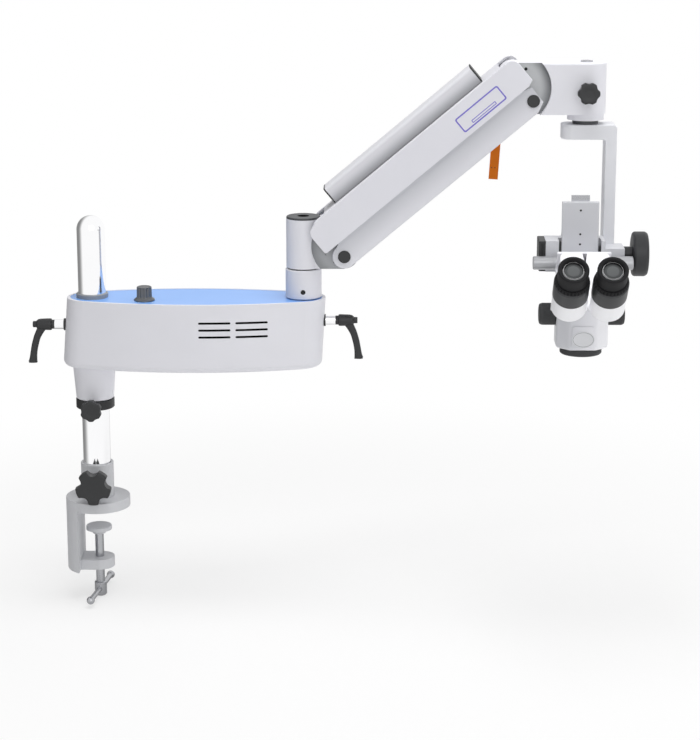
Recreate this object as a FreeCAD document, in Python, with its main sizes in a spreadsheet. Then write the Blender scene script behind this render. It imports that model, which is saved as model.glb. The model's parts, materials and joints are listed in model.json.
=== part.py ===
import FreeCAD, Part
import math
import os

import Sketcher

# A surgical microscope on a table clamp: post, swinging housing, balanced arm, focus drive and head.
# Millimetres. X runs along the housing to the head, Y away from the user, Z up.
# The origin is on the post's axis, at the underside of the clamp's flange, where it sits on a table.

os.makedirs("parts", exist_ok=True)
doc = FreeCAD.newDocument("SurgicalMicroscope")
sheet = doc.addObject("Spreadsheet::Sheet", "Sizes")


# Sizes that carry their cell formula

class Size:
    """A number of millimetres or degrees, with the sheet formula that gives it."""

    def __init__(self, number, formula):
        self.number = number
        self.formula = formula

    def joined(self, sign, other, number):
        return Size(number, "(" + self.formula + " " + sign + " " + other.formula + ")")

    def __add__(self, other):
        other = as_size(other)
        return self.joined("+", other, self.number + other.number)

    def __radd__(self, other):
        return as_size(other) + self

    def __sub__(self, other):
        other = as_size(other)
        return self.joined("-", other, self.number - other.number)

    def __rsub__(self, other):
        return as_size(other) - self

    def __mul__(self, other):
        other = as_size(other)
        return self.joined("*", other, self.number * other.number)

    def __rmul__(self, other):
        return as_size(other) * self

    def __truediv__(self, other):
        other = as_size(other)
        return self.joined("/", other, self.number / other.number)

    def __neg__(self):
        return as_size(0) - self


def as_size(value):
    """A Size for a plain number, or the Size itself."""
    if isinstance(value, Size):
        return value
    return Size(float(value), "(" + repr(float(value)) + ")")


def sine(angle):
    return Size(math.sin(math.radians(angle.number)), "sin(" + angle.formula + " * 1 deg)")


def cosine(angle):
    return Size(math.cos(math.radians(angle.number)), "cos(" + angle.formula + " * 1 deg)")


def root(value):
    return Size(math.sqrt(value.number), "sqrt(" + value.formula + ")")


def size(name, value):
    """Writes one driving dimension in the sheet and returns it as a Size."""
    size.row += 1
    cell = "B" + str(size.row)
    sheet.set("A" + str(size.row), name)
    sheet.set(cell, str(value))
    sheet.setAlias(cell, name)
    return Size(float(value), "Sizes." + name)


size.row = 0

# Fits and gaps
slide_gap = size("slide_gap", 0.3)
pin_fit = size("pin_fit", 0.05)
edge_round = size("edge_round", 1)

# Table clamp
flange_radius = size("flange_radius", 47.3)
flange_height = size("flange_height", 15)
flange_floor = size("flange_floor", 3)
table_edge = size("table_edge", -26)
throat_depth = size("throat_depth", 80)
jaw_height = size("jaw_height", 15)
jaw_nose_radius = size("jaw_nose_radius", 22)
table_gap = size("table_gap", 31.6)
pad_radius = size("pad_radius", 19)
pad_height = size("pad_height", 8)
screw_radius = size("screw_radius", 6.4)
screw_end = size("screw_end", 141)
screw_head_radius = size("screw_head_radius", 9)
screw_head_length = size("screw_head_length", 22)
bar_drop = size("bar_drop", 130)
bar_radius = size("bar_radius", 4)
bar_half_length = size("bar_half_length", 58)
bar_ball_radius = size("bar_ball_radius", 6)
bar_turn = size("bar_turn", 8)

# Post, stop ring and their knobs
post_radius = size("post_radius", 20)
post_wall = size("post_wall", 3)
post_top = size("post_top", 435)
sleeve_radius = size("sleeve_radius", 24)
sleeve_top = size("sleeve_top", 67)
boss_radius = size("boss_radius", 9)
boss_reach = size("boss_reach", 36)
post_knob_height = size("post_knob_height", 42)
post_knob_radius = size("post_knob_radius", 26)
post_knob_thickness = size("post_knob_thickness", 17)
post_stud_radius = size("post_stud_radius", 5)
ring_radius = size("ring_radius", 28)
ring_bottom = size("ring_bottom", 151)
ring_height = size("ring_height", 14)
small_knob_radius = size("small_knob_radius", 15.6)
small_knob_thickness = size("small_knob_thickness", 12)
small_knob_neck = size("small_knob_neck", 10)
ring_knob_neck = size("ring_knob_neck", 18)
small_stud_radius = size("small_stud_radius", 3)

# Housing
housing_bottom = size("housing_bottom", 215)
housing_top = size("housing_top", 316)
housing_length_bottom = size("housing_length_bottom", 377)
housing_length_top = size("housing_length_top", 374.6)
housing_middle_bottom = size("housing_middle_bottom", 144)
housing_middle_top = size("housing_middle_top", 150.9)
housing_half_width = size("housing_half_width", 60)
housing_end_radius = size("housing_end_radius", 38)
housing_wall = size("housing_wall", 4)
housing_foot_round = size("housing_foot_round", 9)
panel_rim = size("panel_rim", 4.5)
panel_ledge = size("panel_ledge", 4)
panel_thickness = size("panel_thickness", 3)
vent_height = size("vent_height", 3.2)
vent_length = size("vent_length", 46)
vent_pitch = size("vent_pitch", 10.2)
vent_lowest = size("vent_lowest", 269)
vent_first_middle = size("vent_first_middle", 180.5)
vent_column_pitch = size("vent_column_pitch", 53)
collar_bottom_radius = size("collar_bottom_radius", 27.3)
collar_top_radius = size("collar_top_radius", 31)
ferrule_radius = size("ferrule_radius", 23)
ferrule_height = size("ferrule_height", 6.5)
bush_wall = size("bush_wall", 3)
bush_length = size("bush_length", 14)

# Beam inside the housing
beam_base_height = size("beam_base_height", 24)
beam_half_width = size("beam_half_width", 20)
beam_post_boss_radius = size("beam_post_boss_radius", 28)
beam_post_boss_top = size("beam_post_boss_top", 297)
beam_column_boss_radius = size("beam_column_boss_radius", 21)

# Levers
lever_left_height = size("lever_left_height", 274.4)
lever_right_height = size("lever_right_height", 281.7)
lever_left_hub = size("lever_left_hub", 55.7)
lever_right_hub = size("lever_right_hub", 352.4)
lever_stud_radius = size("lever_stud_radius", 7)
lever_screw_radius = size("lever_screw_radius", 4)
lever_hub_radius = size("lever_hub_radius", 8.6)
lever_hub_length = size("lever_hub_length", 27)
lever_drop = size("lever_drop", 57)
lever_thickness = size("lever_thickness", 11)
lever_ring_radius = size("lever_ring_radius", 8.8)
lever_ring_gap = size("lever_ring_gap", 0.2)

# Brightness knob
dial_x = size("dial_x", 78)
dial_y = size("dial_y", -24)
dial_radius = size("dial_radius", 11)
dial_flange_radius = size("dial_flange_radius", 15)
dial_height = size("dial_height", 20)
dial_shaft_radius = size("dial_shaft_radius", 3)

# Column
column_x = size("column_x", 306.5)
stem_radius = size("stem_radius", 12.5)
column_ring_radius = size("column_ring_radius", 26)
column_ring_height = size("column_ring_height", 42)
washer_height = size("washer_height", 2)
hub_radius = size("hub_radius", 24.75)
hub_height = size("hub_height", 71)
cap_height = size("cap_height", 3)
cap_hole_radius = size("cap_hole_radius", 8.5)

# Arm
arm_angle = size("arm_angle", 40)
arm_length = size("arm_length", 346)
pivot_reach = size("pivot_reach", 59.3)
pivot_height = size("pivot_height", 381.6)
link_offset = size("link_offset", 43)
tongue_half_width = size("tongue_half_width", 18)
tongue_radius = size("tongue_radius", 20)
scallop_radius = size("scallop_radius", 46.5)
lower_half_width = size("lower_half_width", 33)
lower_depth = size("lower_depth", 17)
lower_rise = size("lower_rise", 24)
shell_wall = size("shell_wall", 3)
lower_top_start = size("lower_top_start", 42)
lower_top_end = size("lower_top_end", 286)
lower_bottom_start = size("lower_bottom_start", 24)
lower_bottom_end = size("lower_bottom_end", 322)
lower_end_reach = size("lower_end_reach", 17)
cheek_front_reach = size("cheek_front_reach", 10)
cheek_front_round = size("cheek_front_round", 3)
cheek_front_cut = size("cheek_front_cut", 7.4)
upper_wall = size("upper_wall", 2.7)
upper_skirt = size("upper_skirt", 22.5)
upper_rise = size("upper_rise", 23)
upper_end_reach = size("upper_end_reach", 17.5)
upper_slot_half_width = size("upper_slot_half_width", 28)
upper_slot_back = size("upper_slot_back", 17)
upper_slot_front = size("upper_slot_front", 28)
link_bar_half_height = size("link_bar_half_height", 8)
link_bar_thickness = size("link_bar_thickness", 5)
pivot_pin_radius = size("pivot_pin_radius", 6)
pivot_cap_radius = size("pivot_cap_radius", 9)
pivot_cap_height = size("pivot_cap_height", 2)
cover_start = size("cover_start", 38)
cover_end = size("cover_end", 308.5)
cover_height = size("cover_height", 26)
cover_half_width = size("cover_half_width", 22)
cover_wall = size("cover_wall", 2.5)
cover_cap_length = size("cover_cap_length", 2.2)
gas_tube_radius = size("gas_tube_radius", 9)
gas_rod_radius = size("gas_rod_radius", 4)
lock_along = size("lock_along", 278)
lock_drop = size("lock_drop", 5)
lock_lean = size("lock_lean", 3.6)
lock_width = size("lock_width", 13)
lock_length = size("lock_length", 68)
lock_thickness = size("lock_thickness", 3)
lock_pin_radius = size("lock_pin_radius", 2.5)
lock_slot_back = size("lock_slot_back", 42)
lock_slot_front = size("lock_slot_front", 8)

# Head block and crank
swivel_reach = size("swivel_reach", 76.2)
block_half_width = size("block_half_width", 28)
block_bottom = size("block_bottom", 584)
block_top = size("block_top", 656)
block_boss_radius = size("block_boss_radius", 26)
block_boss_height = size("block_boss_height", 9)
block_scallop_radius = size("block_scallop_radius", 51.6)
head_knob_height = size("head_knob_height", 616)
spindle_radius = size("spindle_radius", 12)
spindle_cap_radius = size("spindle_cap_radius", 8.75)
spindle_cap_height = size("spindle_cap_height", 1.5)
swivel_ring_radius = size("swivel_ring_radius", 18.4)
swivel_ring_height = size("swivel_ring_height", 6.2)
crank_thickness = size("crank_thickness", 20.5)
crank_back = size("crank_back", 34.4)
crank_reach = size("crank_reach", 43.6)
crank_half_width = size("crank_half_width", 20)
crank_bar = size("crank_bar", 16)
crank_end_round = size("crank_end_round", 14)
crank_corner_round = size("crank_corner_round", 5)

# Focus drive
drive_y = size("drive_y", -38)
drive_z = size("drive_z", 388)
drive_half = size("drive_half", 22)
drive_front = size("drive_front", -58.4)
drive_left = size("drive_left", 650.5)
drive_right = size("drive_right", 762)
plate_middle = size("plate_middle", 699)
plate_width = size("plate_width", 52)
plate_top = size("plate_top", 465)
plate_bottom = size("plate_bottom", 372)
plate_front = size("plate_front", -54)
plate_thickness = size("plate_thickness", 7)
gib_width = size("gib_width", 4)
rack_width = size("rack_width", 26)
rack_top = size("rack_top", 473.5)
rack_teeth = size("rack_teeth", 24)
tooth_module = size("tooth_module", 1)
pinion_teeth = size("pinion_teeth", 12)
pinion_shaft_radius = size("pinion_shaft_radius", 4.5)
guide_top = size("guide_top", 446)
guide_half_width = size("guide_half_width", 20)
focus_knob_radius = size("focus_knob_radius", 31.8)
focus_knob_width = size("focus_knob_width", 22)
focus_knob_left = size("focus_knob_left", 774)
focus_neck_radius = size("focus_neck_radius", 10.5)
end_cap_width = size("end_cap_width", 9.6)

# Tilt axle
axle_y = size("axle_y", -68.5)
axle_z = size("axle_z", 380.6)
axle_radius = size("axle_radius", 9.6)
axle_left = size("axle_left", 632)
axle_right = size("axle_right", 773)
lug_width = size("lug_width", 8)
lug_radius = size("lug_radius", 12.4)

# Microscope head
head_x = size("head_x", 699.5)
head_y = size("head_y", -97)
body_half_width = size("body_half_width", 36.5)
body_half_depth = size("body_half_depth", 34.5)
body_bottom = size("body_bottom", 268)
body_top = size("body_top", 345)
body_flat_width = size("body_flat_width", 32)
body_side_flat = size("body_side_flat", 34)
pad_rise = size("pad_rise", 1.5)
pad_width_front = size("pad_width_front", 31)
pad_top_front = size("pad_top_front", 303)
objective_radius = size("objective_radius", 29.5)
objective_height = size("objective_height", 10.2)
objective_bore = size("objective_bore", 24)
light_path_radius = size("light_path_radius", 8)
light_path_offset = size("light_path_offset", 12)
drum_z = size("drum_z", 313.6)
drum_radius = size("drum_radius", 16)
mag_knob_radius = size("mag_knob_radius", 15.5)
mag_knob_reach = size("mag_knob_reach", 60)

# Binocular: a point on the tubes' axis plane and the 45 degree rise
eye_y = size("eye_y", -243)
eye_z = size("eye_z", 402)
tube_rise = size("tube_rise", 45)
tube_half_spacing = size("tube_half_spacing", 26.2)
swing_offset = size("swing_offset", 12)
swing_height = size("swing_height", 70)
box_front = size("box_front", 83.5)
box_depth = size("box_depth", 36.5)
box_low_edge = size("box_low_edge", -6.7)
box_lobe_radius = size("box_lobe_radius", 24.2)
box_top_rise = size("box_top_rise", 17.5)
box_top_half_width = size("box_top_half_width", 34)
tube_radius = size("tube_radius", 24)
tube_length = size("tube_length", 32)
tube_floor = size("tube_floor", 4)
barrel_radius = size("barrel_radius", 24.4)
barrel_length = size("barrel_length", 37)
eyecup_radius = size("eyecup_radius", 21)
eyecup_reach = size("eyecup_reach", 9)
eye_lens_radius = size("eye_lens_radius", 12.8)
eye_lens_depth = size("eye_lens_depth", 5)
base_thickness = size("base_thickness", 8)
base_half_width = size("base_half_width", 37.5)
lip_thickness = size("lip_thickness", 3)
lip_gap = size("lip_gap", 2.8)
lip_depth = size("lip_depth", 40)
swing_boss_radius = size("swing_boss_radius", 10.5)
swing_boss_bore = size("swing_boss_bore", 7.5)

doc.recompute()

# Worked out once from the sizes above
sleeve_bore = post_radius + slide_gap
bush_radius = post_radius + pin_fit + bush_wall
stem_bush_radius = stem_radius + pin_fit + bush_wall
floor_top = housing_bottom + housing_wall
panel_bottom = housing_top - panel_thickness - 0.5
beam_top = floor_top + beam_base_height
column_boss_top = housing_top + 0.7
column_ring_bottom = column_boss_top + slide_gap
column_ring_top = column_ring_bottom + column_ring_height
hub_bottom = column_ring_top + washer_height
hub_top = hub_bottom + hub_height
pivot_x = column_x + pivot_reach
upper_pivot_x = pivot_x - link_offset * sine(arm_angle)
upper_pivot_z = pivot_height + link_offset * cosine(arm_angle)
front_pivot_x = pivot_x + arm_length * cosine(arm_angle)
front_pivot_z = pivot_height + arm_length * sine(arm_angle)
front_upper_x = front_pivot_x - link_offset * sine(arm_angle)
front_upper_z = front_pivot_z + link_offset * cosine(arm_angle)
swivel_x = front_pivot_x + swivel_reach
lock_x = pivot_x + lock_along * cosine(arm_angle) + lock_drop * sine(arm_angle)
lock_z = pivot_height + lock_along * sine(arm_angle) - lock_drop * cosine(arm_angle)
spindle_foot = block_bottom - block_boss_height - swivel_ring_height
crank_top = spindle_foot - slide_gap
crank_bottom = crank_top - crank_thickness
crank_left = swivel_x - crank_back
crank_right = swivel_x + crank_reach
bar_left = crank_right - crank_bar
zero = as_size(0)


# Sketch and feature helpers

class Point:
    """A corner of an outline."""

    def __init__(self, x, y):
        self.x = as_size(x)
        self.y = as_size(y)


class Bend(Point):
    """A corner reached by an arc: turn 1 runs anticlockwise and -1 clockwise."""

    def __init__(self, x, y, radius, turn=1):
        Point.__init__(self, x, y)
        self.radius = as_size(radius)
        self.turn = turn


class Circle(Point):
    """A whole circle."""

    def __init__(self, x, y, radius):
        Point.__init__(self, x, y)
        self.radius = as_size(radius)


def rectangle(x0, y0, x1, y1):
    return [Point(x0, y0), Point(x1, y0), Point(x1, y1), Point(x0, y1)]


def stadium(x0, x1, y, radius):
    """A slot outline along X between two end centres."""
    radius = as_size(radius)
    x0, x1, y = as_size(x0), as_size(x1), as_size(y)
    return [Point(x0, y - radius), Point(x1, y - radius), Bend(x1 + radius, y, radius),
            Bend(x1, y + radius, radius), Point(x0, y + radius), Bend(x0 - radius, y, radius),
            Bend(x0, y - radius, radius)]


def arc_edge(start, end):
    """The arc from one corner to the next, and whether it was drawn from its end."""
    p = FreeCAD.Vector(start.x.number, start.y.number, 0)
    q = FreeCAD.Vector(end.x.number, end.y.number, 0)
    chord = q - p
    reach = math.sqrt(max(end.radius.number ** 2 - chord.Length ** 2 / 4, 0))
    left = FreeCAD.Vector(-chord.y, chord.x, 0).normalize()
    centre = (p + q) * 0.5 + left * (reach * end.turn)
    circle = Part.Circle(centre, FreeCAD.Vector(0, 0, 1), end.radius.number)
    first, last = (p, q) if end.turn > 0 else (q, p)
    angles = [math.atan2(v.y - centre.y, v.x - centre.x) for v in (first, last)]
    return Part.ArcOfCircle(circle, angles[0], angles[1]), end.turn < 0


def drive(sketch, kind, numbers, value):
    """Adds a constraint whose value follows the sheet."""
    index = sketch.addConstraint(Sketcher.Constraint(kind, *numbers, value.number))
    sketch.setExpression("Constraints[" + str(index) + "]", value.formula)


def draw_circle(sketch, circle):
    centre = FreeCAD.Vector(circle.x.number, circle.y.number, 0)
    curve = Part.Circle(centre, FreeCAD.Vector(0, 0, 1), circle.radius.number)
    index = sketch.addGeometry(curve, False)
    drive(sketch, "DistanceX", (-1, 1, index, 3), circle.x)
    drive(sketch, "DistanceY", (-1, 1, index, 3), circle.y)
    drive(sketch, "Radius", (index,), circle.radius)


def draw_outline(sketch, corners):
    """Draws one outline of straight runs and arcs; its last corner may name the first again."""
    first, last = corners[0], corners[-1]
    if abs(first.x.number - last.x.number) + abs(first.y.number - last.y.number) < 1e-6:
        corners = corners[1:]
    runs = []
    for number, end in enumerate(corners):
        start = corners[number - 1]
        if isinstance(end, Bend):
            curve, swapped = arc_edge(start, end)
        else:
            curve = Part.LineSegment(FreeCAD.Vector(start.x.number, start.y.number, 0),
                                     FreeCAD.Vector(end.x.number, end.y.number, 0))
            swapped = False
        index = sketch.addGeometry(curve, False)
        runs.append((index, 2 if swapped else 1, 1 if swapped else 2))
    for number, end in enumerate(corners):
        index, first, last = runs[number]
        following = runs[(number + 1) % len(runs)]
        joint = Sketcher.Constraint("Coincident", index, last, following[0], following[1])
        sketch.addConstraint(joint)
        drive(sketch, "DistanceX", (-1, 1, index, last), end.x)
        drive(sketch, "DistanceY", (-1, 1, index, last), end.y)
        if isinstance(end, Bend):
            drive(sketch, "Radius", (index,), end.radius)


def failed(thing):
    return "Invalid" in thing.State or "Error" in thing.State


class Piece:
    """A PartDesign body that is built up by features, named for its node."""

    def __init__(self, node, at=(0, 0, 0), axis=(0, 0, 1), turn=None):
        self.body = doc.addObject("PartDesign::Body", node)
        self.body.Label = node
        self.count = 0
        self.volume = 0
        angle = as_size(0 if turn is None else turn)
        spin = FreeCAD.Rotation(FreeCAD.Vector(*axis), angle.number)
        self.body.Placement = FreeCAD.Placement(FreeCAD.Vector(0, 0, 0), spin)
        for name, value in zip("xyz", at):
            self.body.setExpression(".Placement.Base." + name, as_size(value).formula)
        if turn is not None:
            self.body.setExpression(".Placement.Rotation.Angle", angle.formula + " * 1 deg")

    def name(self, kind):
        self.count += 1
        return self.body.Label + "_" + kind + "_" + str(self.count)

    def sketch(self, plane, outlines, start):
        """A sketch on one of the body's own planes, moved along the plane's axis to start."""
        sketch = self.body.newObject("Sketcher::SketchObject", self.name("profile"))
        role = plane + "_Plane"
        origin = [f for f in self.body.Origin.OriginFeatures if f.Role == role]
        sketch.AttachmentSupport = [(origin[0], "")]
        sketch.MapMode = "FlatFace"
        lift = -as_size(start) if plane == "XZ" else as_size(start)
        sketch.setExpression(".AttachmentOffset.Base.z", lift.formula)
        for outline in outlines:
            if isinstance(outline, Circle):
                draw_circle(sketch, outline)
            else:
                draw_outline(sketch, outline)
        sketch.Visibility = False
        return sketch

    def settle(self, feature, adds):
        """Recomputes, and checks that a feature took effect."""
        doc.recompute()
        volume = self.body.Shape.Volume
        changed = volume > self.volume if adds else volume < self.volume
        if failed(feature) or not changed:
            print(feature.Name, feature.State, feature.getStatusString(), self.volume, volume)
            raise RuntimeError(feature.Name + " failed or changed nothing")
        self.volume = volume
        return feature

    def pad(self, plane, outlines, start, length):
        """Adds material from start towards the plane's positive axis."""
        sketch = self.sketch(plane, outlines, start)
        feature = self.body.newObject("PartDesign::Pad", self.name("pad"))
        feature.Profile = sketch
        feature.setExpression("Length", as_size(length).formula)
        feature.Reversed = plane == "XZ"
        return self.settle(feature, True)

    def cut(self, plane, outlines, start, length):
        """Removes material from start towards the plane's positive axis."""
        sketch = self.sketch(plane, outlines, start)
        feature = self.body.newObject("PartDesign::Pocket", self.name("pocket"))
        feature.Profile = sketch
        feature.setExpression("Length", as_size(length).formula)
        feature.Reversed = plane != "XZ"
        return self.settle(feature, False)

    def turned(self, corners, plane="XZ", axis="V_Axis"):
        """Adds a turned form: the outline spun about the sketch's own axis."""
        sketch = self.sketch(plane, [corners], 0)
        feature = self.body.newObject("PartDesign::Revolution", self.name("turned"))
        feature.Profile = sketch
        feature.ReferenceAxis = (sketch, [axis])
        feature.Angle = 360
        return self.settle(feature, True)

    def grooved(self, corners, plane="XZ", axis="V_Axis"):
        sketch = self.sketch(plane, [corners], 0)
        feature = self.body.newObject("PartDesign::Groove", self.name("groove"))
        feature.Profile = sketch
        feature.ReferenceAxis = (sketch, [axis])
        feature.Angle = 360
        return self.settle(feature, False)

    def loft(self, lower, bottom, upper, top, adds=True):
        """A straight-sided loft between two outlines at two heights."""
        first = self.sketch("XY", [lower], bottom)
        second = self.sketch("XY", [upper], top)
        kind = "AdditiveLoft" if adds else "SubtractiveLoft"
        feature = self.body.newObject("PartDesign::" + kind, self.name("loft"))
        feature.Profile = first
        feature.Sections = [second]
        feature.Ruled = True
        return self.settle(feature, adds)

    def ring_of(self, feature, count, axis_plane="XY"):
        """Repeats a feature about the body's own axis that is square to a plane."""
        pattern = self.body.newObject("PartDesign::PolarPattern", self.name("pattern"))
        pattern.Originals = [feature]
        role = {"XY": "Z_Axis", "XZ": "Y_Axis", "YZ": "X_Axis"}[axis_plane]
        axis = [f for f in self.body.Origin.OriginFeatures if f.Role == role]
        pattern.Axis = (axis[0], [""])
        pattern.Angle = 360
        pattern.Occurrences = count
        self.body.Tip = pattern
        return self.settle(pattern, False)

    def edges(self, test):
        """Names of the edges for which test(edge) holds."""
        shape = self.body.Tip.Shape
        return ["Edge" + str(n + 1) for n, edge in enumerate(shape.Edges) if test(edge)]

    def dress(self, kind, radius, test):
        """Rounds or bevels the edges that a test picks."""
        names = self.edges(test)
        if not names:
            raise RuntimeError("no edge of " + self.body.Label + " to dress")
        tip = self.body.Tip
        feature = self.body.newObject("PartDesign::" + kind, self.name(kind.lower()))
        feature.Base = (tip, names)
        prop = "Radius" if kind == "Fillet" else "Size"
        feature.setExpression(prop, as_size(radius).formula)
        doc.recompute()
        if failed(feature) or abs(self.body.Shape.Volume - self.volume) < 1e-6:
            raise RuntimeError(feature.Name + " failed or changed nothing")
        self.volume = self.body.Shape.Volume
        return feature

    def round(self, radius, test):
        return self.dress("Fillet", radius, test)

    def bevel(self, radius, test):
        return self.dress("Chamfer", radius, test)


def near(value, target):
    return abs(value - as_size(target).number) < 0.01


def flat_at(axis, level):
    """A test for edges that lie wholly in one level plane of an axis: 0 is X, 1 is Y, 2 is Z."""
    def test(edge):
        box = edge.BoundBox
        low = (box.XMin, box.YMin, box.ZMin)[axis]
        high = (box.XMax, box.YMax, box.ZMax)[axis]
        return near(low, level) and near(high, level)
    return test


def along(axis):
    """A test for straight edges that run along one axis."""
    def test(edge):
        if edge.Curve.TypeId != "Part::GeomLine":
            return False
        step = edge.Vertexes[-1].Point - edge.Vertexes[0].Point
        return abs(abs((step.x, step.y, step.z)[axis]) - step.Length) < 1e-6
    return test


def both(*tests):
    return lambda edge: all(test(edge) for test in tests)


def either(*tests):
    return lambda edge: any(test(edge) for test in tests)


nodes = []


def keep(node, *things):
    """One node from one or more finished bodies or objects; several stay separate solids."""
    if len(things) == 1:
        things[0].Label = node
        nodes.append(things[0])
        return things[0]
    for number, thing in enumerate(things):
        thing.Label = node + "_piece_" + str(number + 1)
    group = doc.addObject("Part::Compound", node)
    group.Links = list(things)
    group.Label = node
    doc.recompute()
    nodes.append(group)
    return group


def rod(name, radius, start, length, direction="Z", bore=None, at=(0, 0)):
    """A round bar or tube along a row axis; at gives its other two coordinates in X, Y, Z order."""
    bars = []
    for number, r in enumerate([radius] if bore is None else [radius, bore]):
        bar = doc.addObject("Part::Cylinder", name + ("" if number == 0 else "_bore"))
        bar.setExpression("Radius", as_size(r).formula)
        bar.setExpression("Height", as_size(length).formula)
        if direction == "Z":
            place = (at[0], at[1], start)
        elif direction == "Y":
            place = (at[0], start, at[1])
            bar.Placement.Rotation = FreeCAD.Rotation(FreeCAD.Vector(1, 0, 0), -90)
        else:
            place = (start, at[0], at[1])
            bar.Placement.Rotation = FreeCAD.Rotation(FreeCAD.Vector(0, 1, 0), 90)
        for axis, value in zip("xyz", place):
            bar.setExpression(".Placement.Base." + axis, as_size(value).formula)
        bars.append(bar)
    if bore is None:
        return bars[0]
    tube = doc.addObject("Part::Cut", name + "_tube")
    tube.Base, tube.Tool = bars
    return tube


def block(name, x0, x1, y0, y1, z0, z1):
    """A plain block between two corners."""
    box = doc.addObject("Part::Box", name)
    spans = (("Length", "x", x0, x1), ("Width", "y", y0, y1), ("Height", "z", z0, z1))
    for prop, axis, low, high in spans:
        box.setExpression(prop, (as_size(high) - as_size(low)).formula)
        box.setExpression(".Placement.Base." + axis, as_size(low).formula)
    return box


def star_knob(node, at, shape, radius, thickness, neck_radius, neck_length, stud_radius,
              stud_length):
    """A lobed clamping knob that faces the user, with its hub and its stud behind it.

    Its shape is the number of lobes, the valley and notch radii as shares of the knob's
    radius, and the first notch's angle from the top."""
    lobes, valley, notch_share, first = shape
    piece = Piece(node, at, (1, 0, 0), 90)
    crown = radius * 0.1
    face = radius * 0.55
    piece.turned([Point(0, 0), Point(radius - crown, 0), Bend(radius, crown, crown),
                  Point(radius, thickness - crown), Bend(radius - crown, thickness, crown),
                  Point(face, thickness), Point(face - 1, thickness - 1),
                  Point(0, thickness - 1)])
    angle = math.radians(first)
    scallop = radius * notch_share
    middle = radius * valley + scallop
    notch = piece.cut("XY", [Circle(middle * math.sin(angle), middle * math.cos(angle), scallop)],
                      -1, thickness + 2)
    piece.ring_of(notch, lobes)
    piece.pad("XY", [Circle(0, 0, neck_radius)], -neck_length, neck_length)
    stud = rod(node + "_stud", stud_radius, at[1] + neck_length, stud_length, "Y",
               at=(at[0], at[2]))
    return keep(node, piece.body, stud)


# Table clamp

def clamp_frame():
    """Round flange with a blind post bore, a back past the table's edge and a lower jaw."""
    piece = Piece("clamp_frame")
    jaw_bottom = -(throat_depth + jaw_height)
    piece.pad("XY", [Circle(0, 0, flange_radius)], 0, flange_height)
    edge_y = root(flange_radius * flange_radius - table_edge * table_edge)
    back = [Point(table_edge, edge_y), Bend(-flange_radius, 0, flange_radius),
            Bend(table_edge, -edge_y, flange_radius)]
    piece.pad("XY", [back], jaw_bottom, throat_depth + jaw_height)
    jaw = [Point(table_edge, -jaw_nose_radius), Point(0, -jaw_nose_radius),
           Bend(jaw_nose_radius, 0, jaw_nose_radius), Bend(0, jaw_nose_radius, jaw_nose_radius),
           Point(table_edge, jaw_nose_radius)]
    piece.pad("XY", [jaw], jaw_bottom, jaw_height)
    piece.cut("XY", [Circle(0, 0, sleeve_bore)], flange_floor, flange_height)
    piece.cut("XY", [Circle(0, 0, screw_radius + pin_fit)], jaw_bottom - 1, jaw_height + 2)
    piece.round(edge_round, either(flat_at(2, flange_height), flat_at(2, jaw_bottom)))
    keep("clamp_frame", piece.body)


def post_sleeve():
    """Grey sleeve pressed on the flange, with the boss that the lock knob's stud runs in."""
    piece = Piece("post_sleeve")
    piece.pad("XY", [Circle(0, 0, sleeve_radius)], flange_height, sleeve_top - flange_height)
    piece.pad("XZ", [Circle(0, post_knob_height, boss_radius)], -boss_reach, boss_reach)
    piece.cut("XY", [Circle(0, 0, sleeve_bore)], flange_height - 1, sleeve_top)
    piece.cut("XZ", [Circle(0, post_knob_height, post_stud_radius + pin_fit)],
              -boss_reach - 1, boss_reach)
    piece.round(edge_round, flat_at(2, sleeve_top))
    keep("post_sleeve", piece.body)


def clamp_pad():
    """Round pad that presses on the table's underside, with a socket for the screw's end."""
    top = -table_gap
    bottom = top - pad_height
    piece = Piece("clamp_pad")
    socket = screw_radius + pin_fit
    piece.turned([Point(0, bottom + 3), Point(socket, bottom + 3), Point(socket, bottom - 4),
                  Point(socket + 3, bottom - 4), Point(socket + 5, bottom),
                  Point(pad_radius, bottom + 2), Point(pad_radius, top - 1),
                  Point(pad_radius - 1, top), Point(0, top)])
    keep("clamp_pad", piece.body)


def clamp_screw():
    """Threaded spindle with a cross-drilled head at its foot."""
    top = -table_gap - pad_height + 3 - pin_fit
    head_top = screw_head_length - screw_end
    piece = Piece("clamp_screw")
    piece.turned([Point(0, -screw_end), Point(screw_head_radius - 2, -screw_end),
                  Point(screw_head_radius, 2 - screw_end), Point(screw_head_radius, head_top - 1.5),
                  Point(screw_head_radius - 1.5, head_top), Point(screw_radius, head_top),
                  Point(screw_radius, top - 1), Point(screw_radius - 1, top), Point(0, top)])
    hole = bar_radius + pin_fit
    cross = rod("screw_cross_hole", hole, -20, 40, "Y", at=(0, -bar_drop))
    cross.Placement.Rotation = FreeCAD.Rotation(-bar_turn.number, 0, -90)
    shift_x = sine(bar_turn) * 20
    cross.setExpression(".Placement.Base.x", (-shift_x).formula)
    cross.setExpression(".Placement.Base.y", (-(cosine(bar_turn) * 20)).formula)
    drilled = doc.addObject("Part::Cut", "clamp_screw_drilled")
    drilled.Base = piece.body
    drilled.Tool = cross
    piece.body.Label = "clamp_screw_blank"
    keep("clamp_screw", drilled)


def tommy_bar():
    """Sliding handle bar with a ball at each end."""
    piece = Piece("tommy_bar", (0, 0, -bar_drop), (0, 0, 1), -bar_turn)
    reach = root(bar_ball_radius * bar_ball_radius - bar_radius * bar_radius)
    half = bar_half_length
    piece.turned([Point(0, -half - bar_ball_radius), Bend(bar_ball_radius, -half, bar_ball_radius),
                  Bend(bar_radius, reach - half, bar_ball_radius), Point(bar_radius, half - reach),
                  Bend(bar_ball_radius, half, bar_ball_radius),
                  Bend(0, half + bar_ball_radius, bar_ball_radius)], "XY")
    keep("tommy_bar", piece.body)


# Post and stop ring

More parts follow.
